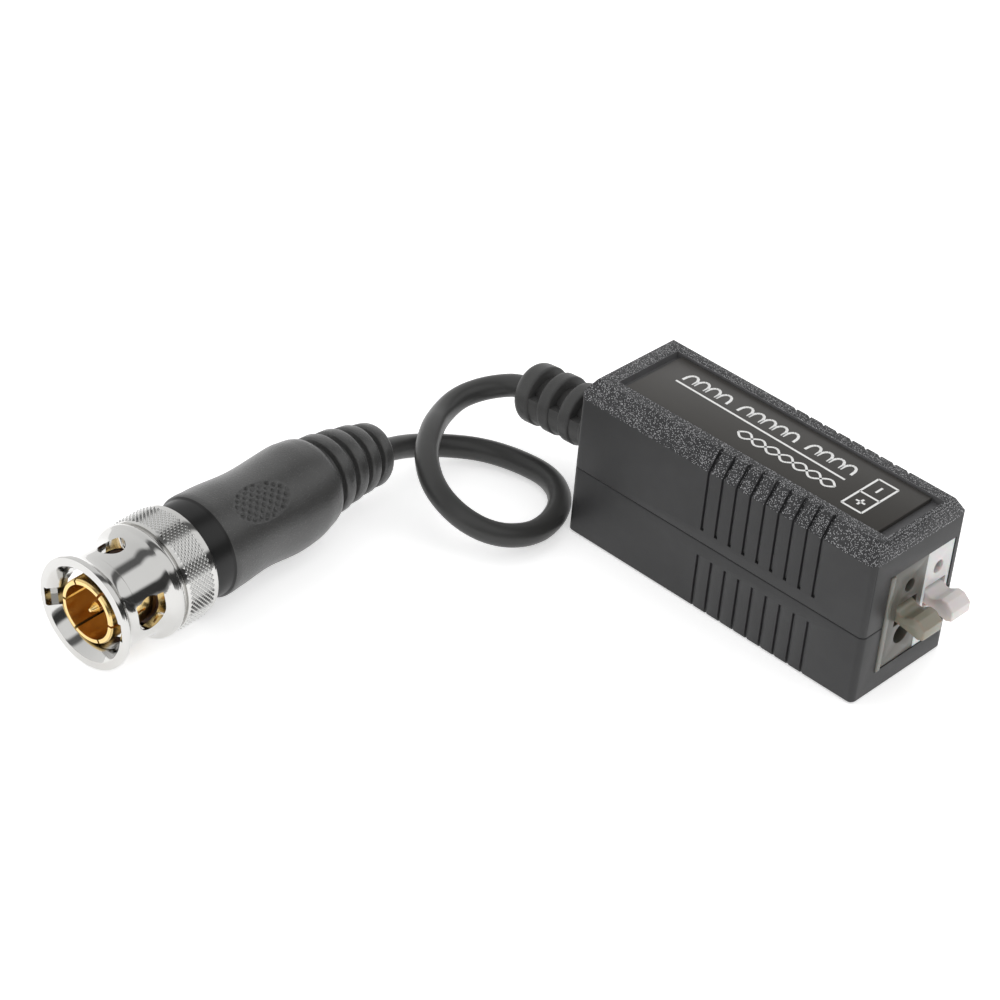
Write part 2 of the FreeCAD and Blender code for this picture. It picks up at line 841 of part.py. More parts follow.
def circuit_board():
    owner = body("circuit_board")
    drawn = sketch(owner, "XY_Plane", BOARD_LOW)
    edge_x = "(body_long / 2 - wall - board_play)"
    edge_y = "(body_wide / 2 - wall - board_play)"
    oblong(drawn, "-" + edge_x, "-" + edge_y, edge_x, edge_y)
    pad(owner, drawn, "board_thick")
    drawn = sketch(owner, "XY_Plane", BLOCK_LOW)
    for colour in ("grey", "white"):
        for at in ("pin_front", "pin_rear"):
            ring_mark(drawn, "%s - %s" % (FACE, at), pole_middle(colour), "pin_hole_radius")
    pocket(owner, drawn, "board_thick + 0.5")
    return owner


RING_MIDDLE = BLOCK_LOW + " + seat_gap + wire_thick + wire_play + ring_high / 2"


def place_ring(thing, turn=None):
    """Puts a piece of the transformer at the ring's middle, turned about the ring's axis."""
    return place(thing, FACE + " - block_deep - ring_from_block", "0", RING_MIDDLE, turn=turn)


def toroid_core():
    """Ring of the transformer, lying flat over the board."""
    owner = body("toroid_core")
    drawn = sketch(owner, "XZ_Plane")
    left = "(ring_radius - ring_wide / 2)"
    right = "(ring_radius + ring_wide / 2)"
    outline(
        drawn,
        [
            (left + " + ring_bevel", "-ring_high / 2"),
            (right + " - ring_bevel", "-ring_high / 2"),
            (right, "ring_bevel - ring_high / 2"),
            (right, "ring_high / 2 - ring_bevel"),
            (right + " - ring_bevel", "ring_high / 2"),
            (left + " + ring_bevel", "ring_high / 2"),
            (left, "ring_high / 2 - ring_bevel"),
            (left, "ring_bevel - ring_high / 2"),
        ],
    )
    made = feature(owner, "Revolution", drawn, Angle="360")
    made.ReferenceAxis = (drawn, ["V_Axis"])
    return place_ring(owner)


def winding(label, start):
    """Turns of enamelled wire round one side of the ring. The square wire stands for round wire."""
    owner = body(label)
    drawn = sketch(owner, "XZ_Plane", "-wire_thick / 2")
    for more in ("wire_play + wire_thick", "wire_play"):
        oblong(
            drawn,
            "ring_radius - ring_wide / 2 - " + more.replace("+", "-"),
            "-ring_high / 2 - " + more.replace("+", "-"),
            "ring_radius + ring_wide / 2 + " + more,
            "ring_high / 2 + " + more,
        )
    turn = pad(owner, drawn, "wire_thick")
    made = around(owner, turn, "Z_Axis", "turns")
    bind(made, "Angle", "turns_span")
    return place_ring(owner, turn=start)


def surge_arrester():
    """Small gas tube across the board: a ceramic barrel with a metal cap at each end."""
    owner = body("surge_arrester")
    high = BLOCK_LOW + " + tube_radius + seat_gap"
    middle = FACE + " - block_deep - tube_from_block"
    for start in ("-tube_long / 2", "tube_long / 2 - cap_long"):
        drawn = sketch(owner, "XZ_Plane", start)
        ring_mark(drawn, middle, high, "tube_radius")
        pad(owner, drawn, "cap_long")
    drawn = sketch(owner, "XZ_Plane", "-tube_long / 2")
    ring_mark(drawn, middle, high, "tube_radius * 0.86")
    pad(owner, drawn, "tube_long")
    return owner


def chips():
    """Row of chip parts on the board between the gas tube and the terminal."""
    owner = body("chip_parts")
    drawn = sketch(owner, "XY_Plane", BLOCK_LOW)
    middle = FACE + " - block_deep - chip_from_block"
    for index in (-1, 0, 1):
        low = "%d * chip_pitch - chip_long / 2" % index
        oblong(drawn, middle + " - chip_wide / 2", low, middle + " + chip_wide / 2", low + " + chip_long")
    pad(owner, drawn, "chip_high")
    return owner


# Strain relief


def bent(owner, x, z, bend, start, turn, backwards=False):
    """A sketch across a bend about a level axis straight below, and the turn it will make.
    The sketch's horizontal axis is the bend's own axis, so its section sits a bend radius above."""
    drawn = owner.newObject("Sketcher::SketchObject", owner.Name + "_sketch")
    support = [plane for plane in owner.Origin.OriginFeatures if plane.Role == "YZ_Plane"]
    drawn.AttachmentSupport = (support[0], [""])
    drawn.MapMode = "FlatFace"
    drawn.AttachmentOffset = FreeCAD.Placement(V(0, 0, 0), FreeCAD.Rotation(V(1, 0, 0), 1.0))
    bind(drawn, "AttachmentOffset.Base.y", "%s - %s" % (z, bend))
    bind(drawn, "AttachmentOffset.Base.z", x)
    bind(drawn, "AttachmentOffset.Rotation.Angle", ("-(%s)" if backwards else "%s") % start)
    return drawn, turn, backwards


def sweep(owner, sketched):
    """Turns a bent sketch's area through its part of the bend."""
    drawn, turn, backwards = sketched
    made = feature(owner, "Revolution", drawn, Angle=turn)
    made.ReferenceAxis = (drawn, ["H_Axis"])
    made.Reversed = backwards
    return made


def rim(shape, radius, middle):
    """Names of the round edges of that radius whose middle is at a point."""
    found = []
    for index, edge in enumerate(shape.Edges, 1):
        curve = edge.Curve
        if isinstance(curve, Part.Circle) and near(curve.Radius, radius):
            if (curve.Center - middle).Length < 0.01:
                found.append("Edge%d" % index)
    return found


def bend_end(bend_radius, turn):
    """How far along and how far down a bend ends, for a turn in degrees."""
    angle = math.radians(turn)
    return bend_radius * math.sin(angle), bend_radius * (1 - math.cos(angle))


def strain_relief():
    """Moulded sleeve round the lead at the wall: rings on a thinner core, joined by a web on each
    side, drooping evenly under the lead's weight."""
    owner = body("strain_relief")
    wide = "(%s / relief_bend * %.12f)" % (RELIEF_LONG, 180 / math.pi)
    per = "(relief_bend / %s)" % RELIEF_LONG

    def section(start, end, radius):
        turn = "(%s - %s) * %s" % (end, start, per)
        first = "(%s) * %s" % (start, per)
        drawn = bent(owner, "-body_long / 2", "lead_high", wide, first, turn, backwards=True)
        ring_mark(drawn[0], "0", wide, radius)
        return sweep(owner, drawn)

    section("0", RELIEF_LONG, "relief_core")
    section("0", "relief_root", "relief_radius")
    turn = "(relief_slots * relief_pitch) * " + per
    first = "(relief_root - 0.2) * " + per
    drawn = bent(owner, "-body_long / 2", "lead_high", wide, first, turn, backwards=True)
    reach = "sqrt((relief_radius - relief_web_drop) ^ 2 - %s ^ 2)"
    high, low = reach % "relief_web_up", reach % "relief_web_down"
    middle = "(relief_radius - relief_web_drop)"
    top, foot = wide + " + relief_web_up", wide + " - relief_web_down"
    web = [("-" + low, foot), (low, foot), (middle, wide), (high, top), ("-" + high, top)]
    outline(drawn[0], web + [("-" + middle, wide)])
    sweep(owner, drawn)
    count = int(size("relief_slots"))
    for index in range(1, count + 1):
        start = "(relief_root + relief_slot + %d * relief_pitch)" % (index - 1)
        end = "(relief_root + %d * relief_pitch)" % index
        ring = section(start, RELIEF_LONG if index == count else end, "relief_radius")
    doc.recompute()
    rings = size("relief_slot") + (count - 1) * size("relief_pitch")
    bend = (size("relief_root") + rings + size("relief_last")) / math.radians(size("relief_bend"))
    along, down = bend_end(bend, size("relief_bend"))
    tip = V(-size("body_long") / 2 - along, 0, size("lead_high") - down)
    ending = rim(ring.Shape, size("relief_radius"), tip)
    dress(owner, "Fillet", ring, ending, "relief_round")
    # Neck through the wall and the flange behind it
    drawn = sketch(owner, "YZ_Plane", "-body_long / 2 - 0.2")
    ring_mark(drawn, "0", "lead_high", "relief_neck")
    pad(owner, drawn, "wall + seat_gap + relief_flange_thick + 0.2")
    drawn = sketch(owner, "YZ_Plane", "wall + seat_gap - body_long / 2")
    ring_mark(drawn, "0", "lead_high", "relief_flange_radius")
    pad(owner, drawn, "relief_flange_thick")
    angle = math.radians(size("relief_bend"))
    return tip, V(-math.cos(angle), 0, -math.sin(angle))


# Coax plug. Its own X axis runs from its front face towards the lead.


def plug_place(thing):
    """Puts a piece of the plug where the plug lies."""
    return place(thing, "plug_x", "plug_y", "plug_high", V(0, 0, 1), "plug_turn")


def turned(owner, corners, angle="360"):
    """A turned piece: pairs of position along the axis and radius."""
    drawn = sketch(owner, "XZ_Plane")
    outline(drawn, corners)
    made = feature(owner, "Revolution", drawn, Angle=angle)
    made.ReferenceAxis = (drawn, ["H_Axis"])
    return made


def radial(owner, turn, lift="0"):
    """A sketch that faces outwards from the plug's axis, at a turn about it, lifted outwards."""
    drawn = owner.newObject("Sketcher::SketchObject", owner.Name + "_sketch")
    support = [plane for plane in owner.Origin.OriginFeatures if plane.Role == "XZ_Plane"]
    drawn.AttachmentSupport = (support[0], [""])
    drawn.MapMode = "FlatFace"
    drawn.AttachmentOffset = FreeCAD.Placement(V(0, 0, 0), FreeCAD.Rotation(V(1, 0, 0), 1.0))
    bind(drawn, "AttachmentOffset.Rotation.Angle", "-(%s)" % turn)
    if lift != "0":
        angle = math.radians(size(turn))
        bind(drawn, "AttachmentOffset.Base.y", "%s * %.9f" % (lift, -math.sin(angle)))
        bind(drawn, "AttachmentOffset.Base.z", "%s * %.9f" % (lift, math.cos(angle)))
    return drawn


def coupling_sleeve():
    """Nut of the plug: flange, barrel, flare and collar, then the knurled grip, with two bayonet
    tracks inside. Each track starts at a notch and a window behind it, and ends in a round hole."""
    owner = body("coupling_sleeve")
    middle = "(flare_start + collar_start) / 2"
    reach = "(flange_foot - flange_thick)"
    rise = "(flange_radius - barrel_radius)"
    turned(
        owner,
        [
            ("0", "mouth_radius"),
            ("0", "flange_radius - 0.15"),
            ("0.15", "flange_radius"),
            ("flange_thick - 0.1", "flange_radius"),
            ("flange_thick", "flange_radius - 0.1"),
            ("flange_thick + %s * 0.2" % reach, "barrel_radius + %s * 0.55" % rise),
            ("flange_thick + %s * 0.5" % reach, "barrel_radius + %s * 0.25" % rise),
            ("flange_foot", "barrel_radius + foot_step"),
            ("flange_foot", "barrel_radius"),
            ("flare_start", "barrel_radius"),
            (middle, "(barrel_radius + collar_radius) / 2 - flare_dip"),
            ("collar_start", "collar_radius"),
            ("collar_end", "collar_radius"),
            ("collar_end", "waist_radius"),
            ("knurl_start", "waist_radius"),
            ("knurl_start", "knurl_radius"),
            ("knurl_end", "knurl_radius"),
            ("sleeve_long", "rim_radius"),
            ("sleeve_long", "bore_radius"),
            ("chamber_end", "bore_radius"),
            ("chamber_end", "chamber_radius"),
            ("chamber_start", "chamber_radius"),
            ("chamber_start", "bore_radius"),
            ("mouth_deep", "bore_radius"),
        ],
    )
    # Notch in the rim, straight entry of one track with its window, ramp, and the hole at its end
    drawn = radial(owner, "entry_turn", "entry_radius")
    oblong(drawn, "-0.5", "-track_wide / 2", "mouth_deep", "track_wide / 2")
    notch = pocket(owner, drawn, "entry_radius - bore_radius + 0.6")
    drawn = radial(owner, "entry_turn")
    ring_mark(drawn, "window_at", "0", "window_radius")
    window = pocket(owner, drawn, "knurl_radius + 1", along=True)
    drawn = radial(owner, "entry_turn")
    across = ("window_at - window_radius", "0", "window_at + window_radius", "window_flat")
    oblong(drawn, *across)
    corners = pocket(owner, drawn, "knurl_radius + 1", along=True)
    drawn = radial(owner, "entry_turn", "track_radius")
    oblong(drawn, "-0.5", "-track_wide / 2", "track_wide * 1.5", "track_wide / 2")
    entry = pocket(owner, drawn, "track_radius - bore_radius + 0.6")
    drawn = radial(owner, "entry_turn")
    oblong(
        drawn,
        "track_wide * 0.5",
        "bore_radius - 0.6",
        "track_wide * 1.5",
        "track_radius",
    )
    ramp = owner.newObject("PartDesign::SubtractiveHelix", "coupling_sleeve_ramp")
    ramp.Profile = drawn
    ramp.ReferenceAxis = (drawn, ["H_Axis"])
    ramp.Mode = "pitch-height-angle"
    climb = "(lock_at - track_wide)"
    turn = "(entry_turn - lock_turn)"
    bind(ramp, "Height", climb)
    bind(ramp, "Pitch", "%s * 360 / %s" % (climb, turn))
    ramp.LeftHanded = False
    doc.recompute()
    drawn = radial(owner, "lock_turn")
    ring_mark(drawn, "lock_at", "0", "lock_radius")
    lock = pocket(owner, drawn, "knurl_radius + 1", along=True)
    made = owner.newObject("PartDesign::PolarPattern", "coupling_sleeve_circle")
    made.Originals = [notch, window, corners, entry, ramp, lock]
    axis = [line for line in owner.Origin.OriginFeatures if line.Role == "X_Axis"]
    made.Axis = (axis[0], [""])
    made.Angle = 360
    made.Occurrences = 2
    owner.Tip = made
    return plug_place(owner)


def plug_body():
    owner = body("plug_body")
    groove = "(shank_radius - clip_groove)"
    turned(
        owner,
        [
            ("shank_front", "contact_radius - contact_wall"),
            ("shank_front", "shank_radius"),
            ("clip_start - clip_play", "shank_radius"),
            ("clip_start - clip_play", groove),
            ("clip_start + clip_thick + clip_play", groove),
            ("clip_start + clip_thick + clip_play", "shank_radius"),
            ("shank_rear", "shank_radius"),
            ("shank_rear", "stub_radius"),
            ("stub_end", "stub_radius"),
            ("stub_end", "stub_bore"),
            ("insulator_rear + fit_play", "stub_bore"),
            ("insulator_rear + fit_play", "contact_radius - contact_wall"),
        ],
    )
    return plug_place(owner)


def outer_contact():
    """Slotted gold contact round the insulator, seated on the body's front face."""
    owner = body("outer_contact")
    turned(
        owner,
        [
            ("contact_front", "contact_radius - contact_wall"),
            ("contact_front", "contact_radius - 0.15"),
            ("contact_front + 0.25", "contact_radius"),
            ("shank_front - contact_base_long", "contact_radius"),
            ("shank_front - contact_base_long", "contact_base_radius"),
            ("shank_front", "contact_base_radius"),
            ("shank_front", "contact_radius - contact_wall"),
        ],
    )
    drawn = sketch(owner, "XZ_Plane")
    oblong(drawn, "contact_front - 0.5", "-slot_wide / 2", "contact_front + slot_long", "slot_wide / 2")
    cut = pocket(owner, drawn, "contact_radius + 0.5", along=True)
    around(owner, cut, "X_Axis", "contact_slots")
    return plug_place(owner)


def simple_ring(label, start, end, inner, outer, angle="360"):
    """A ring of the plug, or a part of one, between two positions and two radii."""
    owner = body(label)
    turned(owner, [(start, inner), (end, inner), (end, outer), (start, outer)], angle)
    return plug_place(owner)


def centre_pin():
    owner = body("centre_pin")
    turned(
        owner,
        [
            ("needle_front", "0"),
            ("needle_front", "needle_radius * 0.3"),
            ("needle_front + needle_point", "needle_radius"),
            ("insulator_rear + 2 * fit_play", "needle_radius"),
            ("insulator_rear + 2 * fit_play", "needle_head"),
            ("needle_rear", "needle_head"),
            ("needle_rear", "0"),
        ],
    )
    return plug_place(owner)


def closed_curve(points):
    curve = Part.BSplineCurve()
    curve.interpolate(points, PeriodicFlag=True)
    return curve.toShape()


def wave_washer():
    """Springy washer with even waves, between the clip and the thrust washer. Its wavy faces are
    ruled between smooth closed curves."""
    front = size("clip_start") + size("clip_thick") + size("seat_gap")
    rear = size("chamber_end") - size("washer_thick") - 2 * size("seat_gap")
    thick = size("wave_thick")
    swing = (rear - front - thick) / 2
    inner = size("shank_radius") + size("shank_play")
    outer = inner + size("washer_band")
    rings = []
    for radius, lift in ((inner, 0), (outer, 0), (outer, thick), (inner, thick)):
        points = []
        for step in range(36):
            turn = 2 * math.pi * step / 36
            along = front + swing * (1 - math.cos(size("waves") * turn)) + lift
            points.append(V(along, radius * math.cos(turn), radius * math.sin(turn)))
        rings.append(closed_curve(points))
    faces = []
    for index in range(4):
        faces.append(Part.makeRuledSurface(rings[index], rings[(index + 1) % 4]))
    shell = Part.makeShell(faces)
    shell.sewShape()
    made = doc.addObject("Part::Feature", "wave_washer")
    solid = Part.makeSolid(shell)
    made.Shape = solid if solid.Volume > 0 else solid.reversed()
    return plug_place(made)


def plug_boot():
    """Moulded boot: a lip behind the sleeve, a long grip with a shoulder, and a ribbed neck that
    bends down with the lead."""
    owner = body("plug_boot")
    turned(
        owner,
        [
            ("boot_front", "ferrule_radius + 2 * fit_play"),
            ("boot_front", "boot_lip_radius"),
            ("boot_lip_end - boot_step", "boot_lip_radius"),
            ("boot_lip_end", "boot_radius"),
            ("boot_grip_end", "boot_radius"),
            ("boot_waist_start", "boot_waist_radius"),
            ("boot_shoulder", "boot_waist_radius"),
            ("(boot_shoulder + boot_neck_start) / 2", "boot_waist_radius - boot_shoulder_drop * 0.5"),
            ("boot_neck_start", "boot_neck_radius"),
            ("boot_neck_start", "0"),
            ("ferrule_end + seat_gap", "0"),
            ("ferrule_end + seat_gap", "ferrule_radius + 2 * fit_play"),
        ],
    )
    wide = "(neck_long / neck_bend * %.12f)" % (180 / math.pi)
    per = "(neck_bend / neck_rings)"
    count = int(size("neck_rings"))
    for index in range(count):
        radius = "neck_first_radius - %d * neck_step" % index
        drawn = bent(owner, "boot_neck_start", "0", wide, "%d * %s" % (index, per), per)
        ring_mark(drawn[0], "0", wide, radius + " - neck_core_drop")
        sweep(owner, drawn)
        share = "neck_slot * neck_bend / neck_long"
        first = "(%d * %s + %s)" % (index, per, share)
        drawn = bent(owner, "boot_neck_start", "0", wide, first, "%s - %s" % (per, share))
        ring_mark(drawn[0], "0", wide, radius)
        sweep(owner, drawn)
    plug_place(owner)
    bend = size("neck_long") / math.radians(size("neck_bend"))
    along, down = bend_end(bend, size("neck_bend"))
    turn = math.radians(size("plug_turn"))
    ahead = V(math.cos(turn), math.sin(turn), 0)
    tip = V(size("plug_x"), size("plug_y"), size("plug_high") - down)
    tip = tip + ahead * (size("boot_neck_start") + along)
    angle = math.radians(size("neck_bend"))
    return tip, ahead * math.cos(angle) + V(0, 0, -math.sin(angle))


# Lead


def smooth_path(points, share):
    """Straight runs joined by tangent arcs. Gives the edges, the length and the arcs' radii."""
    edges_made = []
    radii = []
    total = 0.0
    start = points[0]
    for index in range(1, len(points) - 1):
        corner = points[index]
        back = points[index - 1] - corner
        ahead = points[index + 1] - corner
        reach = share * min(back.Length, ahead.Length)
        back.normalize()
        ahead.normalize()
        turn = math.pi - back.getAngle(ahead)
        if turn < 1e-4:
            continue
        radius = reach / math.tan(turn / 2)
        radii.append(radius)
        enter = corner + back * reach
        leave = corner + ahead * reach
        inward = back + ahead
        inward.normalize()
        middle = corner + inward * (radius / math.cos(turn / 2) - radius)
        edges_made.append(Part.LineSegment(start, enter).toShape())
        edges_made.append(Part.Arc(enter, middle, leave).toShape())
        total += (enter - start).Length + radius * turn
        start = leave
    edges_made.append(Part.LineSegment(start, points[-1]).toShape())
    total += (points[-1] - start).Length
    return edges_made, total, radii


def tube(points, radius, share):
    """A round cord along a smooth path."""
    made, total, radii = smooth_path(points, share)
    direction = points[1] - points[0]
    across = Part.Wire([Part.Circle(points[0], direction, radius).toShape()])
    solid = Part.Wire(made).makePipeShell([across], True, False)
    return solid, total, radii


def lead(relief_tip, relief_way, boot_tip, boot_way):
    """The coax lead, from the strain relief's end face to the boot's."""
    points = [relief_tip, relief_tip + relief_way * LEAD_START_RUN]
    points += [V(*point) for point in LEAD_ROUTE]
    points += [boot_tip + boot_way * LEAD_END_RUN, boot_tip]
    radius = size("cable_radius")
    solid, total, radii = tube(points, radius, ARC_SHARE)
    made = doc.addObject("Part::Feature", "cable")
    made.Shape = solid
    print("lead length", round(total, 2), "radii", [round(value, 1) for value in radii])
    section = math.pi * radius * radius
    print("lead volume", round(solid.Volume, 2), "section x length", round(section * total, 2))
    return made


def solder_leads():
    """The lead's two conductors inside the housing, from the strain relief to the board."""
    start = size("wall") + size("seat_gap") + size("relief_flange_thick") - size("body_long") / 2
    high = size("lead_high")
    board_top = size("floor_thick") + size("rail_high") + size("board_thick")
    apart = size("solder_lead_apart")
    down = size("solder_lead_run") - size("body_long") / 2
    solids = []
    for side in (-1, 1):
        points = [
            V(start, side * apart / 2, high),
            V(start + size("solder_lead_curve"), side * apart / 2, high),
            V(down, side * apart, high - size("solder_lead_curve")),
            V(down, side * apart, board_top),
        ]
        solid, total, radii = tube(points, size("solder_lead_radius"), ARC_SHARE)
        solids.append(solid)
    made = doc.addObject("Part::Feature", "cable_leads")
    made.Shape = Part.makeCompound(solids)
    return made


for build in (upper_shell, lower_shell, label_plate, end_plate, circuit_board):
    build()
for pole in ("grey", "white"):
    terminal_body(pole)
    lever(pole)
    contact_bar(pole)
    clamp_spring(pole)
toroid_core()
winding("winding_primary", "90 - turns_span / 2")
winding("winding_secondary", "270 - turns_span / 2")
surge_arrester()
chips()
relief_end, relief_heading = strain_relief()
coupling_sleeve()
plug_body()
outer_contact()
simple_ring(
    "face_gasket",
    "shank_front - contact_base_long - gasket_long",
    "shank_front - contact_base_long",
    "contact_radius + fit_play",
    "gasket_radius",
)
simple_ring(
    "contact_insulator",
    "insulator_front",
    "insulator_rear",
    "needle_radius + fit_play",
    "contact_radius - contact_wall - fit_play",
)
centre_pin()
simple_ring(
    "retaining_ring",
    "clip_start",
    "clip_start + clip_thick",
    "shank_radius - clip_groove + clip_play",
    "shank_radius + 0.8",
    "360 - clip_gap",
)
wave_washer()
simple_ring(
    "thrust_washer",
    "chamber_end - washer_thick - seat_gap",
    "chamber_end - seat_gap",
    "shank_radius + shank_play",
    "shank_radius + shank_play + washer_band",
)
simple_ring(
    "crimp_ferrule",
    "boot_front",
    "ferrule_end",
    "ferrule_radius - ferrule_wall",
    "ferrule_radius",
)
boot_end, boot_heading = plug_boot()
lead(relief_end, relief_heading, boot_end, boot_heading)
solder_leads()
doc.recompute()

NODES = [
    "housing_lower_shell",
    "housing_upper_shell",
    "label_plate",
    "terminal_end_plate",
    "terminal_body_grey",
    "terminal_body_white",
    "lever_grey",
    "lever_white",
    "clamp_spring_grey",
    "clamp_spring_white",
    "contact_bar_grey",
    "contact_bar_white",
    "circuit_board",
    "toroid_core",
    "winding_primary",
    "winding_secondary",
    "surge_arrester",
    "chip_parts",
    "cable_leads",
    "strain_relief",
    "cable",
    "plug_boot",
    "crimp_ferrule",
    "plug_body",
    "outer_contact",
    "contact_insulator",
    "centre_pin",
    "face_gasket",
    "retaining_ring",
    "wave_washer",
    "thrust_washer",
    "coupling_sleeve",
]

for item in doc.Objects:
    if "Invalid" in item.State or "Error" in item.State:
        raise RuntimeError("%s is %s" % (item.Name, item.State))
os.makedirs("parts", exist_ok=True)
for name in NODES:
    item = doc.getObjectsByLabel(name)[0]
    if item.Shape.isNull() or not item.Shape.isValid():
        raise RuntimeError(name + " has no valid shape")
    item.Shape.exportStep("parts/%s.step" % name)
    box = item.Shape.BoundBox
    low = " ".join("%.2f" % value for value in (box.XMin, box.YMin, box.ZMin))
    high = " ".join("%.2f" % value for value in (box.XMax, box.YMax, box.ZMax))
    print("%-20s %2d solids %9.2f mm3" % (name, len(item.Shape.Solids), item.Shape.Volume), low, "|", high)
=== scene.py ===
# %% [markdown]
# # A small video balun, dressed for the camera
# The frame of this object comes from a CAD model: a dark two-part housing with a lever terminal at one
# end, and at the other a strain relief, a looped coax lead and a bayonet coax plug. This script keeps
# those places and sizes, and gives every piece the surface and the fine shape that the real one shows.

# %% Load the frame
import math

import bmesh
import bpy
from mathutils import Matrix, Vector


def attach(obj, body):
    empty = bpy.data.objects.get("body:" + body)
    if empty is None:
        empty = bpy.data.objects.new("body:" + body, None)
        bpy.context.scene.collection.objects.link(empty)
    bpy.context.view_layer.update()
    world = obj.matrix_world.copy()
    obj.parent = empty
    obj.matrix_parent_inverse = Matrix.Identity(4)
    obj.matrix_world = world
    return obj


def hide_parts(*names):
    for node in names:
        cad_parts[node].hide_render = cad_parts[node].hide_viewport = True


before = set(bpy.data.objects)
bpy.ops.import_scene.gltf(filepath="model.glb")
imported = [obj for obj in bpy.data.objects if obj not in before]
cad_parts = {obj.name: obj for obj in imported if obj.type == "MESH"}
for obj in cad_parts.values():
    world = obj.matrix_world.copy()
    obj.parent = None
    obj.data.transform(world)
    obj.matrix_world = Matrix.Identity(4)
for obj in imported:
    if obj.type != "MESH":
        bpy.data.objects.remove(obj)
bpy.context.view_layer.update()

MM = 0.001
scene = bpy.context.scene

# %% [markdown]
# ## Camera
# The photograph was taken from above the plug's side with a long lens, and the camera was rolled a few
# degrees. Its angles could be tried by eye. Here they were measured from the housing's straight edges. A
# camera's own axes are right, up and back, so its turn is built from those three directions, and the roll
# is added last.

# %% Camera at the photograph's angle
CAMERA_AZIMUTH = math.radians(41.325)
CAMERA_ELEVATION = math.radians(35.525)
CAMERA_ROLL = math.radians(5.035)
CAMERA_TARGET = Vector((-24.75, -18.873, 8.0)) * MM
CAMERA_DISTANCE = 351.934 * MM
FOCAL_IN_PIXELS = 2931.36
PHOTO_PIXELS = 1000
SENSOR_WIDE = 36

camera_data = bpy.data.cameras.new("camera")
camera_data.sensor_width = SENSOR_WIDE
camera_data.lens = FOCAL_IN_PIXELS / PHOTO_PIXELS * SENSOR_WIDE
camera_data.clip_start = 0.01
camera = bpy.data.objects.new("camera", camera_data)
scene.collection.objects.link(camera)
back = Vector(
    (
        math.sin(CAMERA_AZIMUTH) * math.cos(CAMERA_ELEVATION),
        -math.cos(CAMERA_AZIMUTH) * math.cos(CAMERA_ELEVATION),
        math.sin(CAMERA_ELEVATION),
    )
)
right = Vector((math.cos(CAMERA_AZIMUTH), math.sin(CAMERA_AZIMUTH), 0))
axes = Matrix((right, back.cross(right), back)).transposed().to_4x4()
camera.matrix_world = (
    Matrix.Translation(CAMERA_TARGET + back * CAMERA_DISTANCE)
    @ axes
    @ Matrix.Rotation(CAMERA_ROLL, 4, "Z")
)
scene.camera = camera
print("lens", round(camera_data.lens, 1), "mm")

# %% [markdown]
# ## Floor
# The object lies on a lit white table, so it throws almost no shadow. Strong lamps could make plain paper
# that bright, but they would also flatten the object. So the paper glows a little by itself instead.

# %% Floor
FLOOR_HALF = 3.0
FLOOR_WHITE = (0.93, 0.93, 0.93, 1)
FLOOR_GLOW = 0.5

floor_mesh = bpy.data.meshes.new("floor")
shape = bmesh.new()
bmesh.ops.create_grid(shape, x_segments=1, y_segments=1, size=FLOOR_HALF)
shape.to_mesh(floor_mesh)
shape.free()
floor = bpy.data.objects.new("floor", floor_mesh)
scene.collection.objects.link(floor)
paper = bpy.data.materials.new("pale_paper")
paper.use_nodes = True
paper_shader = paper.node_tree.nodes["Principled BSDF"]
paper_shader.inputs["Base Color"].default_value = FLOOR_WHITE
paper_shader.inputs["Roughness"].default_value = 0.9
paper_shader.inputs["Emission Color"].default_value = (1, 1, 1, 1)
paper_shader.inputs["Emission Strength"].default_value = FLOOR_GLOW
floor_mesh.materials.append(paper)
print("floor width in m:", 2 * FLOOR_HALF)

# %% [markdown]
# ## Light tent
# Polished metal only looks like metal when it has something dark to reflect. A picture of a studio could
# be wrapped round the scene, but a tent of plain panels is enough. They are long and run beside the plug:
# the sky's colour depends only on the angle about the Y axis, which puts straight bright and dark bands
# along every turned surface.

# %% Sky of the light tent
# Panels from the right side up and over to the left: angle in degrees and brightness
PANELS = [
    (2, 0.4), (10, 0.05), (29, 0.05), (36, 1.0), (75, 1.0), (83, 0.14), (97, 0.14), (106, 0.85), (170, 1.0),
]
TENT_STRENGTH = 0.95

world = bpy.data.worlds.new("light_tent")
scene.world = world
world.use_nodes = True
sky_nodes, sky_links = world.node_tree.nodes, world.node_tree.links
sky_place = sky_nodes.new("ShaderNodeTexCoord")
sky_split = sky_nodes.new("ShaderNodeSeparateXYZ")
sky_level = sky_nodes.new("ShaderNodeMath")
sky_level.operation = "ABSOLUTE"
sky_angle = sky_nodes.new("ShaderNodeMath")
sky_angle.operation = "ARCTAN2"
sky_share = sky_nodes.new("ShaderNodeMapRange")
sky_share.inputs["From Min"].default_value = 0
sky_share.inputs["From Max"].default_value = math.pi
sky_ramp = sky_nodes.new("ShaderNodeValToRGB")
stops = sky_ramp.color_ramp.elements
while len(stops) < len(PANELS):
    stops.new(0.5)
for stop, (degrees, level) in zip(stops, PANELS):
    stop.position = degrees / 180
    stop.color = (level, level, level, 1)
sky_links.new(sky_place.outputs["Generated"], sky_split.inputs[0])
sky_links.new(sky_split.outputs["Z"], sky_level.inputs[0])
sky_links.new(sky_level.outputs[0], sky_angle.inputs[0])
sky_links.new(sky_split.outputs["X"], sky_angle.inputs[1])
sky_links.new(sky_angle.outputs[0], sky_share.inputs["Value"])
sky_links.new(sky_share.outputs["Result"], sky_ramp.inputs["Fac"])
sky_links.new(sky_ramp.outputs["Color"], sky_nodes["Background"].inputs["Color"])
sky_nodes["Background"].inputs["Strength"].default_value = TENT_STRENGTH
print("tent panels:", len(PANELS))

# %% [markdown]
# ## Soft lamps
# Three wide round lamps add the shape, one overhead and one at each side. The wider a lamp is, the softer
# its shadow. They are hidden from reflections, so no round spot shows in the metal.


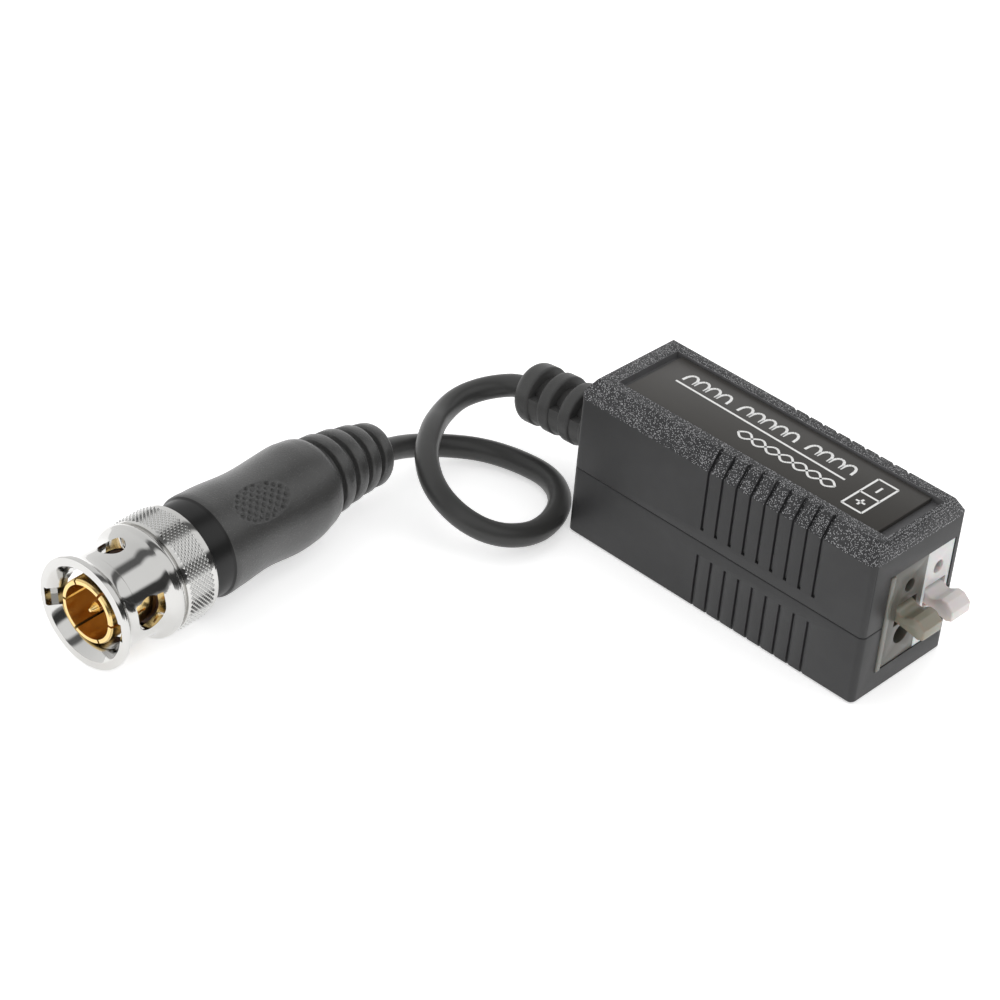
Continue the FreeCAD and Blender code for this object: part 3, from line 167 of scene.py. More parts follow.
# %% Soft lamps
def soft_lamp(name, place, aim, across, power):
    """A round soft lamp at a place, aimed at a point, both in millimetres."""
    lamp_data = bpy.data.lights.new(name, "AREA")
    lamp_data.shape = "DISK"
    lamp_data.size = across * MM
    lamp_data.energy = power
    lamp = bpy.data.objects.new(name, lamp_data)
    lamp.location = Vector(place) * MM
    towards = (Vector(aim) - Vector(place)).normalized()
    lamp.rotation_euler = towards.to_track_quat("-Z", "Y").to_euler()
    lamp.visible_glossy = False
    scene.collection.objects.link(lamp)
    return lamp


soft_lamp("overhead", (-60, 120, 520), (-20, -20, 0), 620, 0.5)
soft_lamp("left_side", (-460, -200, 260), (-20, -30, 8), 420, 0.35)
soft_lamp("right_side", (420, 60, 300), (0, -10, 8), 420, 0.35)
scene.view_settings.view_transform = "Standard"

# %% [markdown]
# ## Shared grain
# Moulded plastic is never one flat colour: it has a fine grain and a faint mottling. An image could carry
# them, but noise has no seams and no size limit. One node group makes both, and each material places it
# with its own scale, because tool marks come in different sizes.


# %% Grain group
def node_group(name, inputs, outputs):
    """An empty node group with named sockets, and its input and output nodes."""
    group = bpy.data.node_groups.new(name, "ShaderNodeTree")
    for label, kind, value in inputs:
        socket = group.interface.new_socket(name=label, in_out="INPUT", socket_type=kind)
        if value is not None:
            socket.default_value = value
    for label, kind in outputs:
        group.interface.new_socket(name=label, in_out="OUTPUT", socket_type=kind)
    return group, group.nodes.new("NodeGroupInput"), group.nodes.new("NodeGroupOutput")


def add(nodes, kind, **values):
    """A node with some of its properties set."""
    node = nodes.new(kind)
    for name, value in values.items():
        setattr(node, name, value)
    return node


grain_group, taken, given = node_group(
    "moulded_grain",
    [
        ("Vector", "NodeSocketVector", None),
        ("Per mm", "NodeSocketFloat", 4.0),
        ("Mottle", "NodeSocketFloat", 0.2),
    ],
    [("Height", "NodeSocketFloat"), ("Shade", "NodeSocketFloat")],
)
inner, wires = grain_group.nodes, grain_group.links
per_metre = add(inner, "ShaderNodeMath", operation="MULTIPLY")
per_metre.inputs[1].default_value = 1 / MM
fine = add(inner, "ShaderNodeTexNoise")
fine.inputs["Detail"].default_value = 3
broad = add(inner, "ShaderNodeTexNoise")
broad.inputs["Scale"].default_value = 0.35 / MM
broad.inputs["Detail"].default_value = 4
shade = add(inner, "ShaderNodeMapRange")
shade.inputs["From Min"].default_value = 0.3
shade.inputs["From Max"].default_value = 0.7
shade.inputs["To Max"].default_value = 1.0
lowest = add(inner, "ShaderNodeMath", operation="SUBTRACT")
lowest.inputs[0].default_value = 1.0
wires.new(taken.outputs["Per mm"], per_metre.inputs[0])
wires.new(taken.outputs["Vector"], fine.inputs["Vector"])
wires.new(taken.outputs["Vector"], broad.inputs["Vector"])
wires.new(per_metre.outputs[0], fine.inputs["Scale"])
wires.new(taken.outputs["Mottle"], lowest.inputs[1])
wires.new(broad.outputs["Fac"], shade.inputs["Value"])
wires.new(lowest.outputs[0], shade.inputs["To Min"])
wires.new(fine.outputs["Fac"], given.inputs["Height"])
wires.new(shade.outputs["Result"], given.inputs["Shade"])
print("sockets of the grain group:", [item.name for item in grain_group.interface.items_tree])

# %% [markdown]
# ## Shared painted glints
# Pale specks on the rough plastic and on the vinyl are painted glints: painted highlights that stand in for
# the sparkle of their grain. Cells of a Voronoi pattern give evenly scattered points. A small disc is kept
# in each, and only where the cell's own random colour is strong enough, so that the specks don't stand in
# rows.

# %% Painted glint group
PAINTED_GLINT_SHARE = 0.55

painted_glint_group, taken, given = node_group(
    "painted_glint_specks",
    [
        ("Vector", "NodeSocketVector", None),
        ("Per mm", "NodeSocketFloat", 5.0),
        ("Size", "NodeSocketFloat", 0.2),
    ],
    [("Mask", "NodeSocketFloat")],
)
inner, wires = painted_glint_group.nodes, painted_glint_group.links
per_metre = add(inner, "ShaderNodeMath", operation="MULTIPLY")
per_metre.inputs[1].default_value = 1 / MM
cells = add(inner, "ShaderNodeTexVoronoi")
near = add(inner, "ShaderNodeMath", operation="LESS_THAN")
picked = add(inner, "ShaderNodeSeparateColor")
chosen = add(inner, "ShaderNodeMath", operation="GREATER_THAN")
chosen.inputs[1].default_value = PAINTED_GLINT_SHARE
both = add(inner, "ShaderNodeMath", operation="MULTIPLY")
wires.new(taken.outputs["Per mm"], per_metre.inputs[0])
wires.new(per_metre.outputs[0], cells.inputs["Scale"])
wires.new(taken.outputs["Vector"], cells.inputs["Vector"])
wires.new(cells.outputs["Distance"], near.inputs[0])
wires.new(taken.outputs["Size"], near.inputs[1])
wires.new(cells.outputs["Color"], picked.inputs["Color"])
wires.new(picked.outputs["Red"], chosen.inputs[0])
wires.new(near.outputs[0], both.inputs[0])
wires.new(chosen.outputs[0], both.inputs[1])
wires.new(both.outputs[0], given.inputs["Mask"])
print("node groups:", [group.name for group in bpy.data.node_groups])

# %% [markdown]
# ## Materials of the housing
# Each finish could have its own node tree, but they all start the same way: a colour that varies a little,
# a roughness that varies with it, and a bump from the grain. So one maker builds them. What differs is the
# scale of the grain and how strongly it catches the light. The housing has four finishes on one plastic.


# %% A maker of finishes, and those of the housing
MOTTLE_DARK = 0.55
DULLER = 1.25
GRAIN_DEEP = 0.1 * MM


def surface(name, colour, rough, metal=0.0, per_mm=4.0, mottle=0.2, bump=0.1, painted_glints=None, **plain):
    """A material with grain in its colour, roughness and bump. Painted glints are the scale, size and colour
    of pale specks that stand in for highlights.
    """
    made = bpy.data.materials.new(name)
    made.use_nodes = True
    nodes, links = made.node_tree.nodes, made.node_tree.links
    shader = nodes["Principled BSDF"]
    place = add(nodes, "ShaderNodeTexCoord")
    grain = add(nodes, "ShaderNodeGroup", node_tree=grain_group)
    grain.inputs["Per mm"].default_value = per_mm
    grain.inputs["Mottle"].default_value = mottle
    links.new(place.outputs["Object"], grain.inputs["Vector"])
    tint = add(nodes, "ShaderNodeMix", data_type="RGBA")
    tint.inputs["A"].default_value = (*[part * MOTTLE_DARK for part in colour], 1)
    tint.inputs["B"].default_value = (*colour, 1)
    links.new(grain.outputs["Shade"], tint.inputs["Factor"])
    links.new(tint.outputs["Result"], shader.inputs["Base Color"])
    polish = add(nodes, "ShaderNodeMapRange")
    polish.inputs["To Min"].default_value = min(1.0, rough * DULLER)
    polish.inputs["To Max"].default_value = rough
    links.new(grain.outputs["Shade"], polish.inputs["Value"])
    links.new(polish.outputs["Result"], shader.inputs["Roughness"])
    relief = add(nodes, "ShaderNodeBump")
    relief.inputs["Strength"].default_value = bump
    relief.inputs["Distance"].default_value = GRAIN_DEEP
    links.new(grain.outputs["Height"], relief.inputs["Height"])
    links.new(relief.outputs["Normal"], shader.inputs["Normal"])
    shader.inputs["Metallic"].default_value = metal
    # Pale specks mixed into the base colour: painted glints.
    if painted_glints:
        glint_spots = add(nodes, "ShaderNodeGroup", node_tree=painted_glint_group)
        glint_spots.inputs["Per mm"].default_value = painted_glints[0]
        glint_spots.inputs["Size"].default_value = painted_glints[1]
        links.new(place.outputs["Object"], glint_spots.inputs["Vector"])
        glint_paint = add(nodes, "ShaderNodeMix", data_type="RGBA")
        glint_paint.inputs["B"].default_value = (*painted_glints[2], 1)
        links.new(glint_spots.outputs["Mask"], glint_paint.inputs["Factor"])
        links.new(tint.outputs["Result"], glint_paint.inputs["A"])
        links.new(glint_paint.outputs["Result"], shader.inputs["Base Color"])
    for label, value in plain.items():
        shader.inputs[label.replace("_", " ")].default_value = value
    return made


shell_side = surface(
    "shell_side", (0.031, 0.031, 0.032), 0.42, per_mm=9, bump=0.12, mottle=0.25, Specular_IOR_Level=0.35
)
shell_grain = surface(
    "shell_grain", (0.033, 0.0333, 0.0355), 0.34, per_mm=3.4, bump=1.0, mottle=0.6,
    painted_glints=(7.6, 0.40, (0.42, 0.42, 0.43)), Specular_IOR_Level=0.4,
)
# A paler finish for the groove floors and the recess: painted light that lifts the shade in them.
hollow_painted_light = surface("hollow_painted_light", (0.11, 0.11, 0.113), 0.5, per_mm=6, bump=0.2, mottle=0.4)
# A pale finish for the edges of the rims: a painted highlight where they catch the light.
edge_painted_highlight = surface("edge_painted_highlight", (0.62, 0.62, 0.63), 0.25, per_mm=2.5, bump=0.2, mottle=0.8)
label_film = surface(
    "label_film", (0.044, 0.041, 0.037), 0.32, per_mm=12, bump=0.04, mottle=0.1, Specular_IOR_Level=0.35
)
white_ink = surface("white_ink", (0.86, 0.86, 0.85), 0.5, per_mm=8, bump=0.05, mottle=0.05)
print("housing finishes:", [made.name for made in (shell_side, shell_grain, hollow_painted_light, edge_painted_highlight)])

# %% [markdown]
# ## Vinyl and clear plastic
# The strain relief, the boot and the lead are soft vinyl, dark and dull, and each has its own grey. The
# boot's lip is a much darker copy of the boot's vinyl: painted shade, because the lip faces away from the
# light. The terminal's plastic is milky: some light goes in and comes out beside the point where it entered.
# A little subsurface scattering does that better than transparency would.

# %% Vinyl and clear plastic
MILKY_DEEP = 1.5 * MM

black_vinyl = surface(
    "black_vinyl", (0.056, 0.056, 0.055), 0.42, per_mm=6, bump=0.35, mottle=0.3,
    painted_glints=(3.4, 0.16, (0.07, 0.07, 0.07)), Specular_IOR_Level=0.4,
)
grip_vinyl = surface(
    "grip_vinyl", (0.048, 0.048, 0.047), 0.31, per_mm=5, bump=0.5, mottle=0.3,
    painted_glints=(5.5, 0.22, (0.12, 0.12, 0.12)), Specular_IOR_Level=0.75,
)
jacket_vinyl = surface(
    "jacket_vinyl", (0.044, 0.044, 0.043), 0.36, per_mm=5, bump=0.08, Specular_IOR_Level=0.4
)
# The boot's lip in a much darker vinyl: painted shade on the lip that faces away from the light.
lip_painted_shade = surface("lip_painted_shade", (0.012, 0.012, 0.012), 0.30, per_mm=5, bump=0.05, Specular_IOR_Level=0.4)
grey_clear = surface(
    "grey_clear", (0.105, 0.10, 0.085), 0.30, per_mm=5, bump=0.05, mottle=0.15,
    Subsurface_Weight=0.3, Subsurface_Scale=MILKY_DEEP,
)
lever_grey_clear = surface(
    "lever_grey_clear", (0.27, 0.255, 0.20), 0.12, per_mm=5, bump=0.05, mottle=0.12,
    Subsurface_Weight=0.4, Subsurface_Scale=MILKY_DEEP,
)
white_clear = surface(
    "white_clear", (0.72, 0.70, 0.69), 0.28, per_mm=5, bump=0.05, mottle=0.08,
    Subsurface_Weight=0.4, Subsurface_Scale=MILKY_DEEP,
)
end_clear = surface(
    "end_clear", (0.15, 0.15, 0.13), 0.15, per_mm=5, bump=0.03, mottle=0.1,
    Subsurface_Weight=0.3, Subsurface_Scale=MILKY_DEEP,
)
vinyls = (black_vinyl, grip_vinyl, jacket_vinyl, lip_painted_shade)
clears = (grey_clear, lever_grey_clear, white_clear, end_clear)
print("vinyl and clear finishes:", len(vinyls), len(clears))

# %% [markdown]
# ## Metals and the pieces inside
# Metal has almost no colour of its own apart from its reflection, so these finishes differ mostly in
# roughness: low on polished nickel, higher on gold and tin. The pieces inside the housing are hardly seen,
# and a plain colour is enough for them.

# %% Metals and inner finishes
nickel = surface("nickel", (0.64, 0.635, 0.62), 0.09, metal=1.0, per_mm=14, bump=0.02, mottle=0.06)
nickel_knurl = surface(
    "nickel_knurl", (0.60, 0.60, 0.59), 0.15, metal=1.0, per_mm=10, bump=0.05, mottle=0.1
)
gold = surface("gold", (0.92, 0.68, 0.30), 0.22, metal=1.0, per_mm=10, bump=0.05, mottle=0.12)
spring_steel = surface("spring_steel", (0.62, 0.61, 0.59), 0.28, metal=1.0, per_mm=8, bump=0.05)
tinned = surface("tinned", (0.70, 0.69, 0.66), 0.36, metal=1.0, per_mm=4, bump=0.15)
# The insulator is white, but it is coloured amber-brown here: a painted reflection of the gold contact round
# it, and painted shade inside the plug.
insulator_painted_reflection = surface("insulator_painted_reflection", (0.42, 0.19, 0.05), 0.35, per_mm=5, bump=0.05)
laminate = surface("laminate", (0.02, 0.13, 0.05), 0.35, per_mm=3, bump=0.1)
ferrite = surface("ferrite", (0.06, 0.06, 0.065), 0.55, per_mm=6, bump=0.3)
enamel = surface("enamel", (0.45, 0.15, 0.05), 0.25, metal=1.0, per_mm=4, bump=0.05)
ceramic = surface("ceramic", (0.78, 0.74, 0.66), 0.3, per_mm=4, bump=0.04)
chip_case = surface("chip_case", (0.25, 0.17, 0.10), 0.5, per_mm=6, bump=0.1)
gasket = surface("gasket", (0.10, 0.045, 0.03), 0.6, per_mm=6, bump=0.1)
print("metal finishes:", [made.name for made in (nickel, nickel_knurl, gold, spring_steel, tinned, enamel)])

# %% [markdown]
# ## Pieces that keep their CAD shape
# Springs, contacts and everything on the board have the right shape already. They could be remade here,
# but a finish is all that they need, so a table names one for each.

# %% Finishes for the CAD pieces
CAD_FINISHES = {
    "clamp_spring_grey": spring_steel,
    "clamp_spring_white": spring_steel,
    "contact_bar_grey": tinned,
    "contact_bar_white": tinned,
    "circuit_board": laminate,
    "toroid_core": ferrite,
    "winding_primary": enamel,
    "winding_secondary": enamel,
    "surge_arrester": ceramic,
    "chip_parts": chip_case,
    "cable_leads": tinned,
    "crimp_ferrule": nickel,
    "plug_body": nickel,
    "outer_contact": gold,
    "contact_insulator": insulator_painted_reflection,
    "centre_pin": gold,
    "face_gasket": gasket,
    "retaining_ring": spring_steel,
    "wave_washer": spring_steel,
    "thrust_washer": spring_steel,
}
for node_name, finish in CAD_FINISHES.items():
    cad_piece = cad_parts[node_name]
    if not cad_piece.material_slots:
        cad_piece.data.materials.append(finish)
    for place in cad_piece.material_slots:
        place.material = finish
print("finished CAD pieces:", len(CAD_FINISHES))

# %% [markdown]
# ## The coax lead
# The lead is one free cord: a thin vinyl jacket that comes out of the strain relief, swings round in a
# loop over itself and runs into the plug's boot. A curve is the natural way to make it, because a cord
# has one line and one thickness. The control points are the same ones that the CAD tube follows.

# %% Lead
LEAD_POINTS = [
    (-37.547, 0.0, 9.236),
    (-39.626, 0.0, 8.941),
    (-42.0, -1.0, 8.1),
    (-43.8, -3.3, 7.5),
    (-44.4, -6.5, 7.2),
    (-43.4, -10.3, 7.0),
    (-40.9, -14.5, 7.9),
    (-37.4, -19.1, 7.8),
    (-32.8, -22.0, 6.7),
    (-28.1, -22.0, 4.9),
    (-24.6, -19.5, 3.1),
    (-22.8, -15.1, 2.0),
    (-23.4, -10.5, 1.5),
    (-25.7, -6.1, 1.5),
    (-30.0, -3.6, 1.5),
    (-35.3, -4.1, 1.5),
    (-39.9, -6.1, 1.7),
    (-43.0, -9.9, 2.3),
    (-44.3, -14.2, 3.5),
    (-44.076, -18.35, 4.941),
    (-43.808, -22.183, 5.899),
]
LEAD_RADIUS = 1.5
lead_curve = bpy.data.curves.new("lead", "CURVE")
lead_curve.dimensions = "3D"
lead_line = lead_curve.splines.new("NURBS")
lead_line.points.add(len(LEAD_POINTS) - 1)
for control, point in zip(lead_line.points, LEAD_POINTS):
    control.co = (*[value * MM for value in point], 1)
lead_line.order_u = 3
lead_line.use_endpoint_u = True
lead_line.resolution_u = 8
lead_curve.bevel_depth = LEAD_RADIUS * MM
lead_curve.bevel_resolution = 8
lead_curve.use_fill_caps = True
lead_curve.materials.append(jacket_vinyl)
lead = bpy.data.objects.new("coax_lead", lead_curve)
scene.collection.objects.link(lead)
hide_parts("cable")
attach(lead, "housing")
print("lead control points:", len(LEAD_POINTS))

# %% [markdown]
# ## Working on copies of the CAD pieces
# A CAD piece is a mesh of loose triangles with knife-sharp edges. It could be shown as it is, but light
# never catches such an edge. So a copy is merged into whole faces and its edges are rounded a little, and
# the copy then stands in for the CAD piece. All this is done in millimetres.


# %% Helpers for copies
MERGE_WITHIN = 2e-3
FLAT_WITHIN = math.radians(0.6)


def finish_mesh(form, name, finishes, place=Matrix.Scale(MM, 4), smooth=None):
    """An object from a bmesh in millimetres, put in place, with its materials."""
    bmesh.ops.transform(form, matrix=place, verts=form.verts)
    mesh = bpy.data.meshes.new(name)
    form.to_mesh(mesh)
    form.free()
    for finish in finishes:
        mesh.materials.append(finish)
    piece = bpy.data.objects.new(name, mesh)
    scene.collection.objects.link(piece)
    for face in mesh.polygons:
        face.use_smooth = True
    if smooth is not None:
        mesh.set_sharp_from_angle(angle=math.radians(smooth))
    print(name, len(mesh.polygons), "faces")
    return piece


def copied(node):
    """A bmesh in millimetres of a CAD piece, with its doubles merged and its flat faces made whole."""
    form = bmesh.new()
    form.from_mesh(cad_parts[node].data)
    bmesh.ops.transform(form, matrix=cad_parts[node].matrix_world, verts=form.verts)
    bmesh.ops.scale(form, vec=(1 / MM, 1 / MM, 1 / MM), verts=form.verts)
    bmesh.ops.remove_doubles(form, verts=form.verts, dist=MERGE_WITHIN)
    bmesh.ops.dissolve_limit(form, angle_limit=FLAT_WITHIN, verts=form.verts, edges=form.edges)
    return form


def soften(form, width, least=30, segments=2, keep=None):
    """Bevels the edges of a bmesh that turn by more than an angle."""
    sharp = []
    for edge in form.edges:
        if len(edge.link_faces) == 2 and edge.calc_face_angle(0) > math.radians(least):
            if keep is None or keep(edge):
                sharp.append(edge)
    bmesh.ops.bevel(
        form,
        geom=sharp,
        offset=width,
        offset_type="OFFSET",
        affect="EDGES",
        segments=segments,
        profile=0.5,
        material=-1,
        clamp_overlap=True,
    )
    return len(sharp)


print("nodes of the frame:", len(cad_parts))

# %% [markdown]
# ## Housing
# The two shells are one dark plastic with two textures. The flat sides are smooth, and the mould was
# spark-eroded on the bevels and the roof's rim, which gives them a coarse grain that sparkles, and pale
# specks there are painted glints. A mask in the material could tell them apart, but the faces themselves
# know where they are and which way they look, so each face gets its finish from that. The edges get a tiny
# rounding that catches the light. Those of the recess and the front that stick out most get a pale finish,
# which is a painted highlight. The floors of the grooves and of the recess are painted a little paler than
# the sides, as painted light that lifts their shade.

# %% Housing shells
ROOF_HIGH, ROOF_RIM, BEVEL_HIGH = 22.0, 21.2, 4
RECESS_REAR, RECESS_SIDE, RECESS_LOW = -19.5, 5.3, 21.1
FRONT_RIM = 21.65
GROOVE_FLOOR = 8.05
EDGE_ROUND = 0.11
BESIDE = 0.15
LEVEL_UP, SLANTED_UP = 0.95, 0.2
SIDE, GRAIN, PAINTED_HIGHLIGHT, HOLLOW_PAINTED_LIGHT = range(4)


def shell_finish(face):
    """The finish of one face of the shells, from its place and direction."""
    up, middle = face.normal.z, face.calc_center_median()
    # The rims' edges that stick out most get the pale finish: a painted highlight.
    if SLANTED_UP < up < 0.98 and middle.z > ROOF_HIGH - BESIDE:
        on_front_rim = abs(middle.x - FRONT_RIM) < BESIDE
        on_rear_rim = abs(middle.x - RECESS_REAR) < BESIDE and abs(middle.y) < RECESS_SIDE + 0.1
        on_far_rim = abs(middle.y - RECESS_SIDE) < BESIDE
        if on_front_rim or on_rear_rim or on_far_rim:
            return PAINTED_HIGHLIGHT
    # Groove floors and the recess get the paler finish: painted light against their shade.
    in_groove = abs(abs(middle.y) - GROOVE_FLOOR) < 0.03 and abs(face.normal.y) > 0.9
    in_recess = abs(middle.y) < RECESS_SIDE + 0.05 and RECESS_LOW - 0.05 < middle.z < ROOF_HIGH - 0.12
    if in_groove or in_recess:
        return HOLLOW_PAINTED_LIGHT
    slanted = SLANTED_UP < up < LEVEL_UP and middle.z > ROOF_HIGH - BEVEL_HIGH
    rim = up >= LEVEL_UP and middle.z > ROOF_RIM
    return GRAIN if slanted or rim else SIDE


for shell_name in ("housing_upper_shell", "housing_lower_shell"):
    form = copied(shell_name)
    softened = soften(form, EDGE_ROUND)
    form.normal_update()
    counts = [0, 0, 0, 0]
    for face in form.faces:
        face.material_index = shell_finish(face)
        counts[face.material_index] += 1
    finishes = [shell_side, shell_grain, edge_painted_highlight, hollow_painted_light]
    shell = finish_mesh(form, shell_name.replace("housing_", "") + "_moulding", finishes, smooth=35)
    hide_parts(shell_name)
    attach(shell, "housing")
    print(shell_name, "edges softened:", softened, "faces of each finish:", counts)

# %% [markdown]
# ## Label plate
# The plate is a smooth dark film that lies in the recess. Its CAD solid has the right size, so only its
# edges are softened.

# %% Label plate
form = copied("label_plate")
soften(form, 0.08)
plate = finish_mesh(form, "label_plate_film", [label_film], smooth=35)
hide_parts("label_plate")
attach(plate, "housing")

# %% [markdown]
# ## Printed signs
# The film carries white print. What it says isn't copied. In its place are plain signs of the trade: a row
# of coil arches over a line, a twisted pair below it, and the box that tells plus from minus at the
# terminal. Ink could be a picture on the film, but thin bars stay sharp at any size, so every line is a
# ribbon of flat bars.

# %% Bars of print
PRINT_HIGH, PRINT_THICK = 21.7, 0.02
PRINT_BAR = 0.28


def bar(form, start, end, wide=PRINT_BAR):
    """A printed bar between two points on the plate."""
    start, end = Vector((*start, PRINT_HIGH)), Vector((*end, PRINT_HIGH))
    run = end - start
    made = bmesh.ops.create_cube(form, size=1)["verts"]
    bmesh.ops.scale(form, vec=(run.length, wide, PRINT_THICK), verts=made)
    turn = math.atan2(run.y, run.x)
    place = Matrix.Translation((start + end) / 2) @ Matrix.Rotation(turn, 4, "Z")
    bmesh.ops.transform(form, matrix=place, verts=made)


def stroke(form, points, wide=PRINT_BAR):
    """A printed line through several points, as a ribbon."""
    for start, end in zip(points, points[1:]):
        bar(form, start, end, wide)


printed = bmesh.new()
bar(printed, (-15.6, 0.6), (10.8, 0.1), 0.3)
print("faces of the long line:", len(printed.faces))

# %% [markdown]
# A coil is drawn as a row of arches, and a twisted pair as two waves that cross. Curve objects could draw
# them too, but they would have to be made into meshes again. A loop that counts the points along a sine
# does the same with less.

# %% Coil arches and twisted pair
ARCH_GROUPS = ((-15.2, 4), (-6.6, 5), (3.8, 4))
ARCH_PITCH, ARCH_HALF, ARCH_FOOT, ARCH_HIGH, ARCH_STEPS = 1.75, 0.8, 1.35, 1.7, 8
PAIR_START, PAIR_LONG, PAIR_MIDDLE, PAIR_HALF, PAIR_STEPS, PAIR_LOOPS = -3.6, 14.5, -1.9, 0.75, 56, 7

for group_start, arches in ARCH_GROUPS:
    for index in range(arches):
        left = group_start + index * ARCH_PITCH
        arch = []
        for step in range(ARCH_STEPS + 1):
            turn = math.pi * step / ARCH_STEPS
            arch_y = ARCH_FOOT + ARCH_HIGH * math.sin(turn) ** 0.7
            arch.append((left + ARCH_HALF - ARCH_HALF * math.cos(turn), arch_y))
        stroke(printed, arch, 0.36)
for phase in (0, math.pi):
    wave = []
    for step in range(PAIR_STEPS + 1):
        wave_y = PAIR_MIDDLE + PAIR_HALF * math.sin(step / PAIR_STEPS * PAIR_LOOPS * math.pi + phase)
        wave.append((PAIR_START + PAIR_LONG * step / PAIR_STEPS, wave_y))
    stroke(printed, wave, 0.3)
print("arches:", sum(arches for start, arches in ARCH_GROUPS))

# %% [markdown]
# The box at the terminal's end has one field for each pole, so a user sees which wire goes where. It is
# drawn from the same bars, and then the whole print becomes one piece on the film.

# %% Box of plus and minus
BOX_LEFT, BOX_RIGHT, BOX_LOW, BOX_HIGH, BOX_SPLIT = 13.3, 16.2, -3.65, 3.25, -0.28
SIGN_HALF = 0.65

corners = [(BOX_LEFT, BOX_LOW), (BOX_RIGHT, BOX_LOW), (BOX_RIGHT, BOX_HIGH), (BOX_LEFT, BOX_HIGH)]
stroke(printed, corners + corners[:1])
bar(printed, (BOX_LEFT, BOX_SPLIT), (BOX_RIGHT, BOX_SPLIT))
sign_x, plus_y, minus_y = (BOX_LEFT + BOX_RIGHT) / 2, (BOX_LOW + BOX_SPLIT) / 2, (BOX_HIGH + BOX_SPLIT) / 2
bar(printed, (sign_x - SIGN_HALF, plus_y), (sign_x + SIGN_HALF, plus_y))
bar(printed, (sign_x, plus_y - SIGN_HALF), (sign_x, plus_y + SIGN_HALF))
bar(printed, (sign_x, minus_y - SIGN_HALF), (sign_x, minus_y + SIGN_HALF))
signs = finish_mesh(printed, "printed_signs", [white_ink], smooth=35)
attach(signs, "housing")

# %% [markdown]
# ## Lever terminal
# Two small mouldings stand side by side, one grey and one milky white, each with a lever. The round probe
# hole high in each face has a wide mouth on the real one. Cutting it again would be slow work: moving the
# points round the hole outwards is enough.

# %% Terminal mouldings
FACE_X = 22.4
FACE_WALL = 1.2
PROBE_HIGH, PROBE_RADIUS, PROBE_WIDER = 13.6, 0.65, 1.35
for node_name, finish, slot_name, middle_y in (
    ("terminal_body_grey", grey_clear, "grey_plastic", -0.61),
    ("terminal_body_white", white_clear, "white_plastic", 4.79),
):
    form = copied(node_name)
    rim_verts = [
        vert for vert in form.verts
        if vert.co.x > FACE_X - FACE_WALL
        and math.hypot(vert.co.y - middle_y, vert.co.z - PROBE_HIGH) < PROBE_RADIUS + 0.05
    ]
    for vert in rim_verts:
        vert.co.y = middle_y + (vert.co.y - middle_y) * PROBE_WIDER
        vert.co.z = PROBE_HIGH + (vert.co.z - PROBE_HIGH) * PROBE_WIDER
    print(node_name, "points round the probe hole:", len(rim_verts))
    soften(form, 0.09)
    moulding = finish_mesh(form, node_name + "_moulding", [finish], smooth=35)
    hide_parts(node_name)
    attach(moulding, "housing")

# %% [markdown]
# ## End plate
# A thin clear plate closes the open side of the last pole. Its front edge stands a little proud of the
# face and is well rounded, so it shows as a bright upright line.

# %% End plate
PLATE_PROUD = 0.3
form = copied("terminal_end_plate")
for vert in form.verts:
    if vert.co.x > FACE_X - 0.1:
        vert.co.x += PLATE_PROUD
soften(form, 0.16, segments=3)
end_plate = finish_mesh(form, "terminal_end_plate_moulding", [end_clear], smooth=60)
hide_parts("terminal_end_plate")
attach(end_plate, "housing")

# %% [markdown]
# ## Levers
# Each lever has a dip for a fingertip just outside the face, and then a thicker, rounded nose. The CAD arm
# has that outline already. Its edges are rounded generously here, as in a small moulding of soft clear
# plastic, but only outside the face, so that the hub on its pivot keeps its exact shape.

# %% Levers
for node_name, finish, slot_name, body_name in (
    ("lever_grey", lever_grey_clear, "grey_plastic", "grey_lever"),
    ("lever_white", white_clear, "white_plastic", "white_lever"),
):
    form = copied(node_name)
    soften(form, 0.22, segments=3, keep=lambda edge: min(vert.co.x for vert in edge.verts) > FACE_X - 0.6)
    arm = finish_mesh(form, node_name + "_moulding", [finish], smooth=70)
    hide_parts(node_name)
    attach(arm, body_name)

# %% [markdown]
# ## Strain relief: the turned bar
# The strain relief is a moulded sleeve whose slots let it bend. Rings and a core could be joined one by
# one, but a single profile turned about its axis gives them all, with a soft round edge on every ring and
# a domed end.

# %% Turned bar
def chain(form, points, closed=False):
    """Vertices at the points of a profile, joined by edges. Each point is (along, radius)."""
    made = [form.verts.new((along, 0, radius)) for along, radius in points]
    joined = [form.edges.new(pair) for pair in zip(made, made[1:])]
    if closed:
        joined.append(form.edges.new((made[-1], made[0])))
    return made + joined


def lathe(points, steps=96, closed=True):
    """A bmesh turned about X from a profile."""
    form = bmesh.new()
    profile = chain(form, points, closed)
    bmesh.ops.spin(
        form, geom=profile, cent=(0, 0, 0), axis=(1, 0, 0), angle=math.tau, steps=steps, use_merge=True
    )
    bmesh.ops.remove_doubles(form, verts=form.verts, dist=1e-5)
    bmesh.ops.recalc_face_normals(form, faces=form.faces)
    return form


RELIEF_LONG = 15.1
RELIEF_RADIUS, RELIEF_CORE = 3.95, 2.6
SLOT_FIRST, SLOT_WIDE, SLOT_PITCH = 3.85, 1.6, 3.45
DOME, DOME_STEPS = 1.15, 8

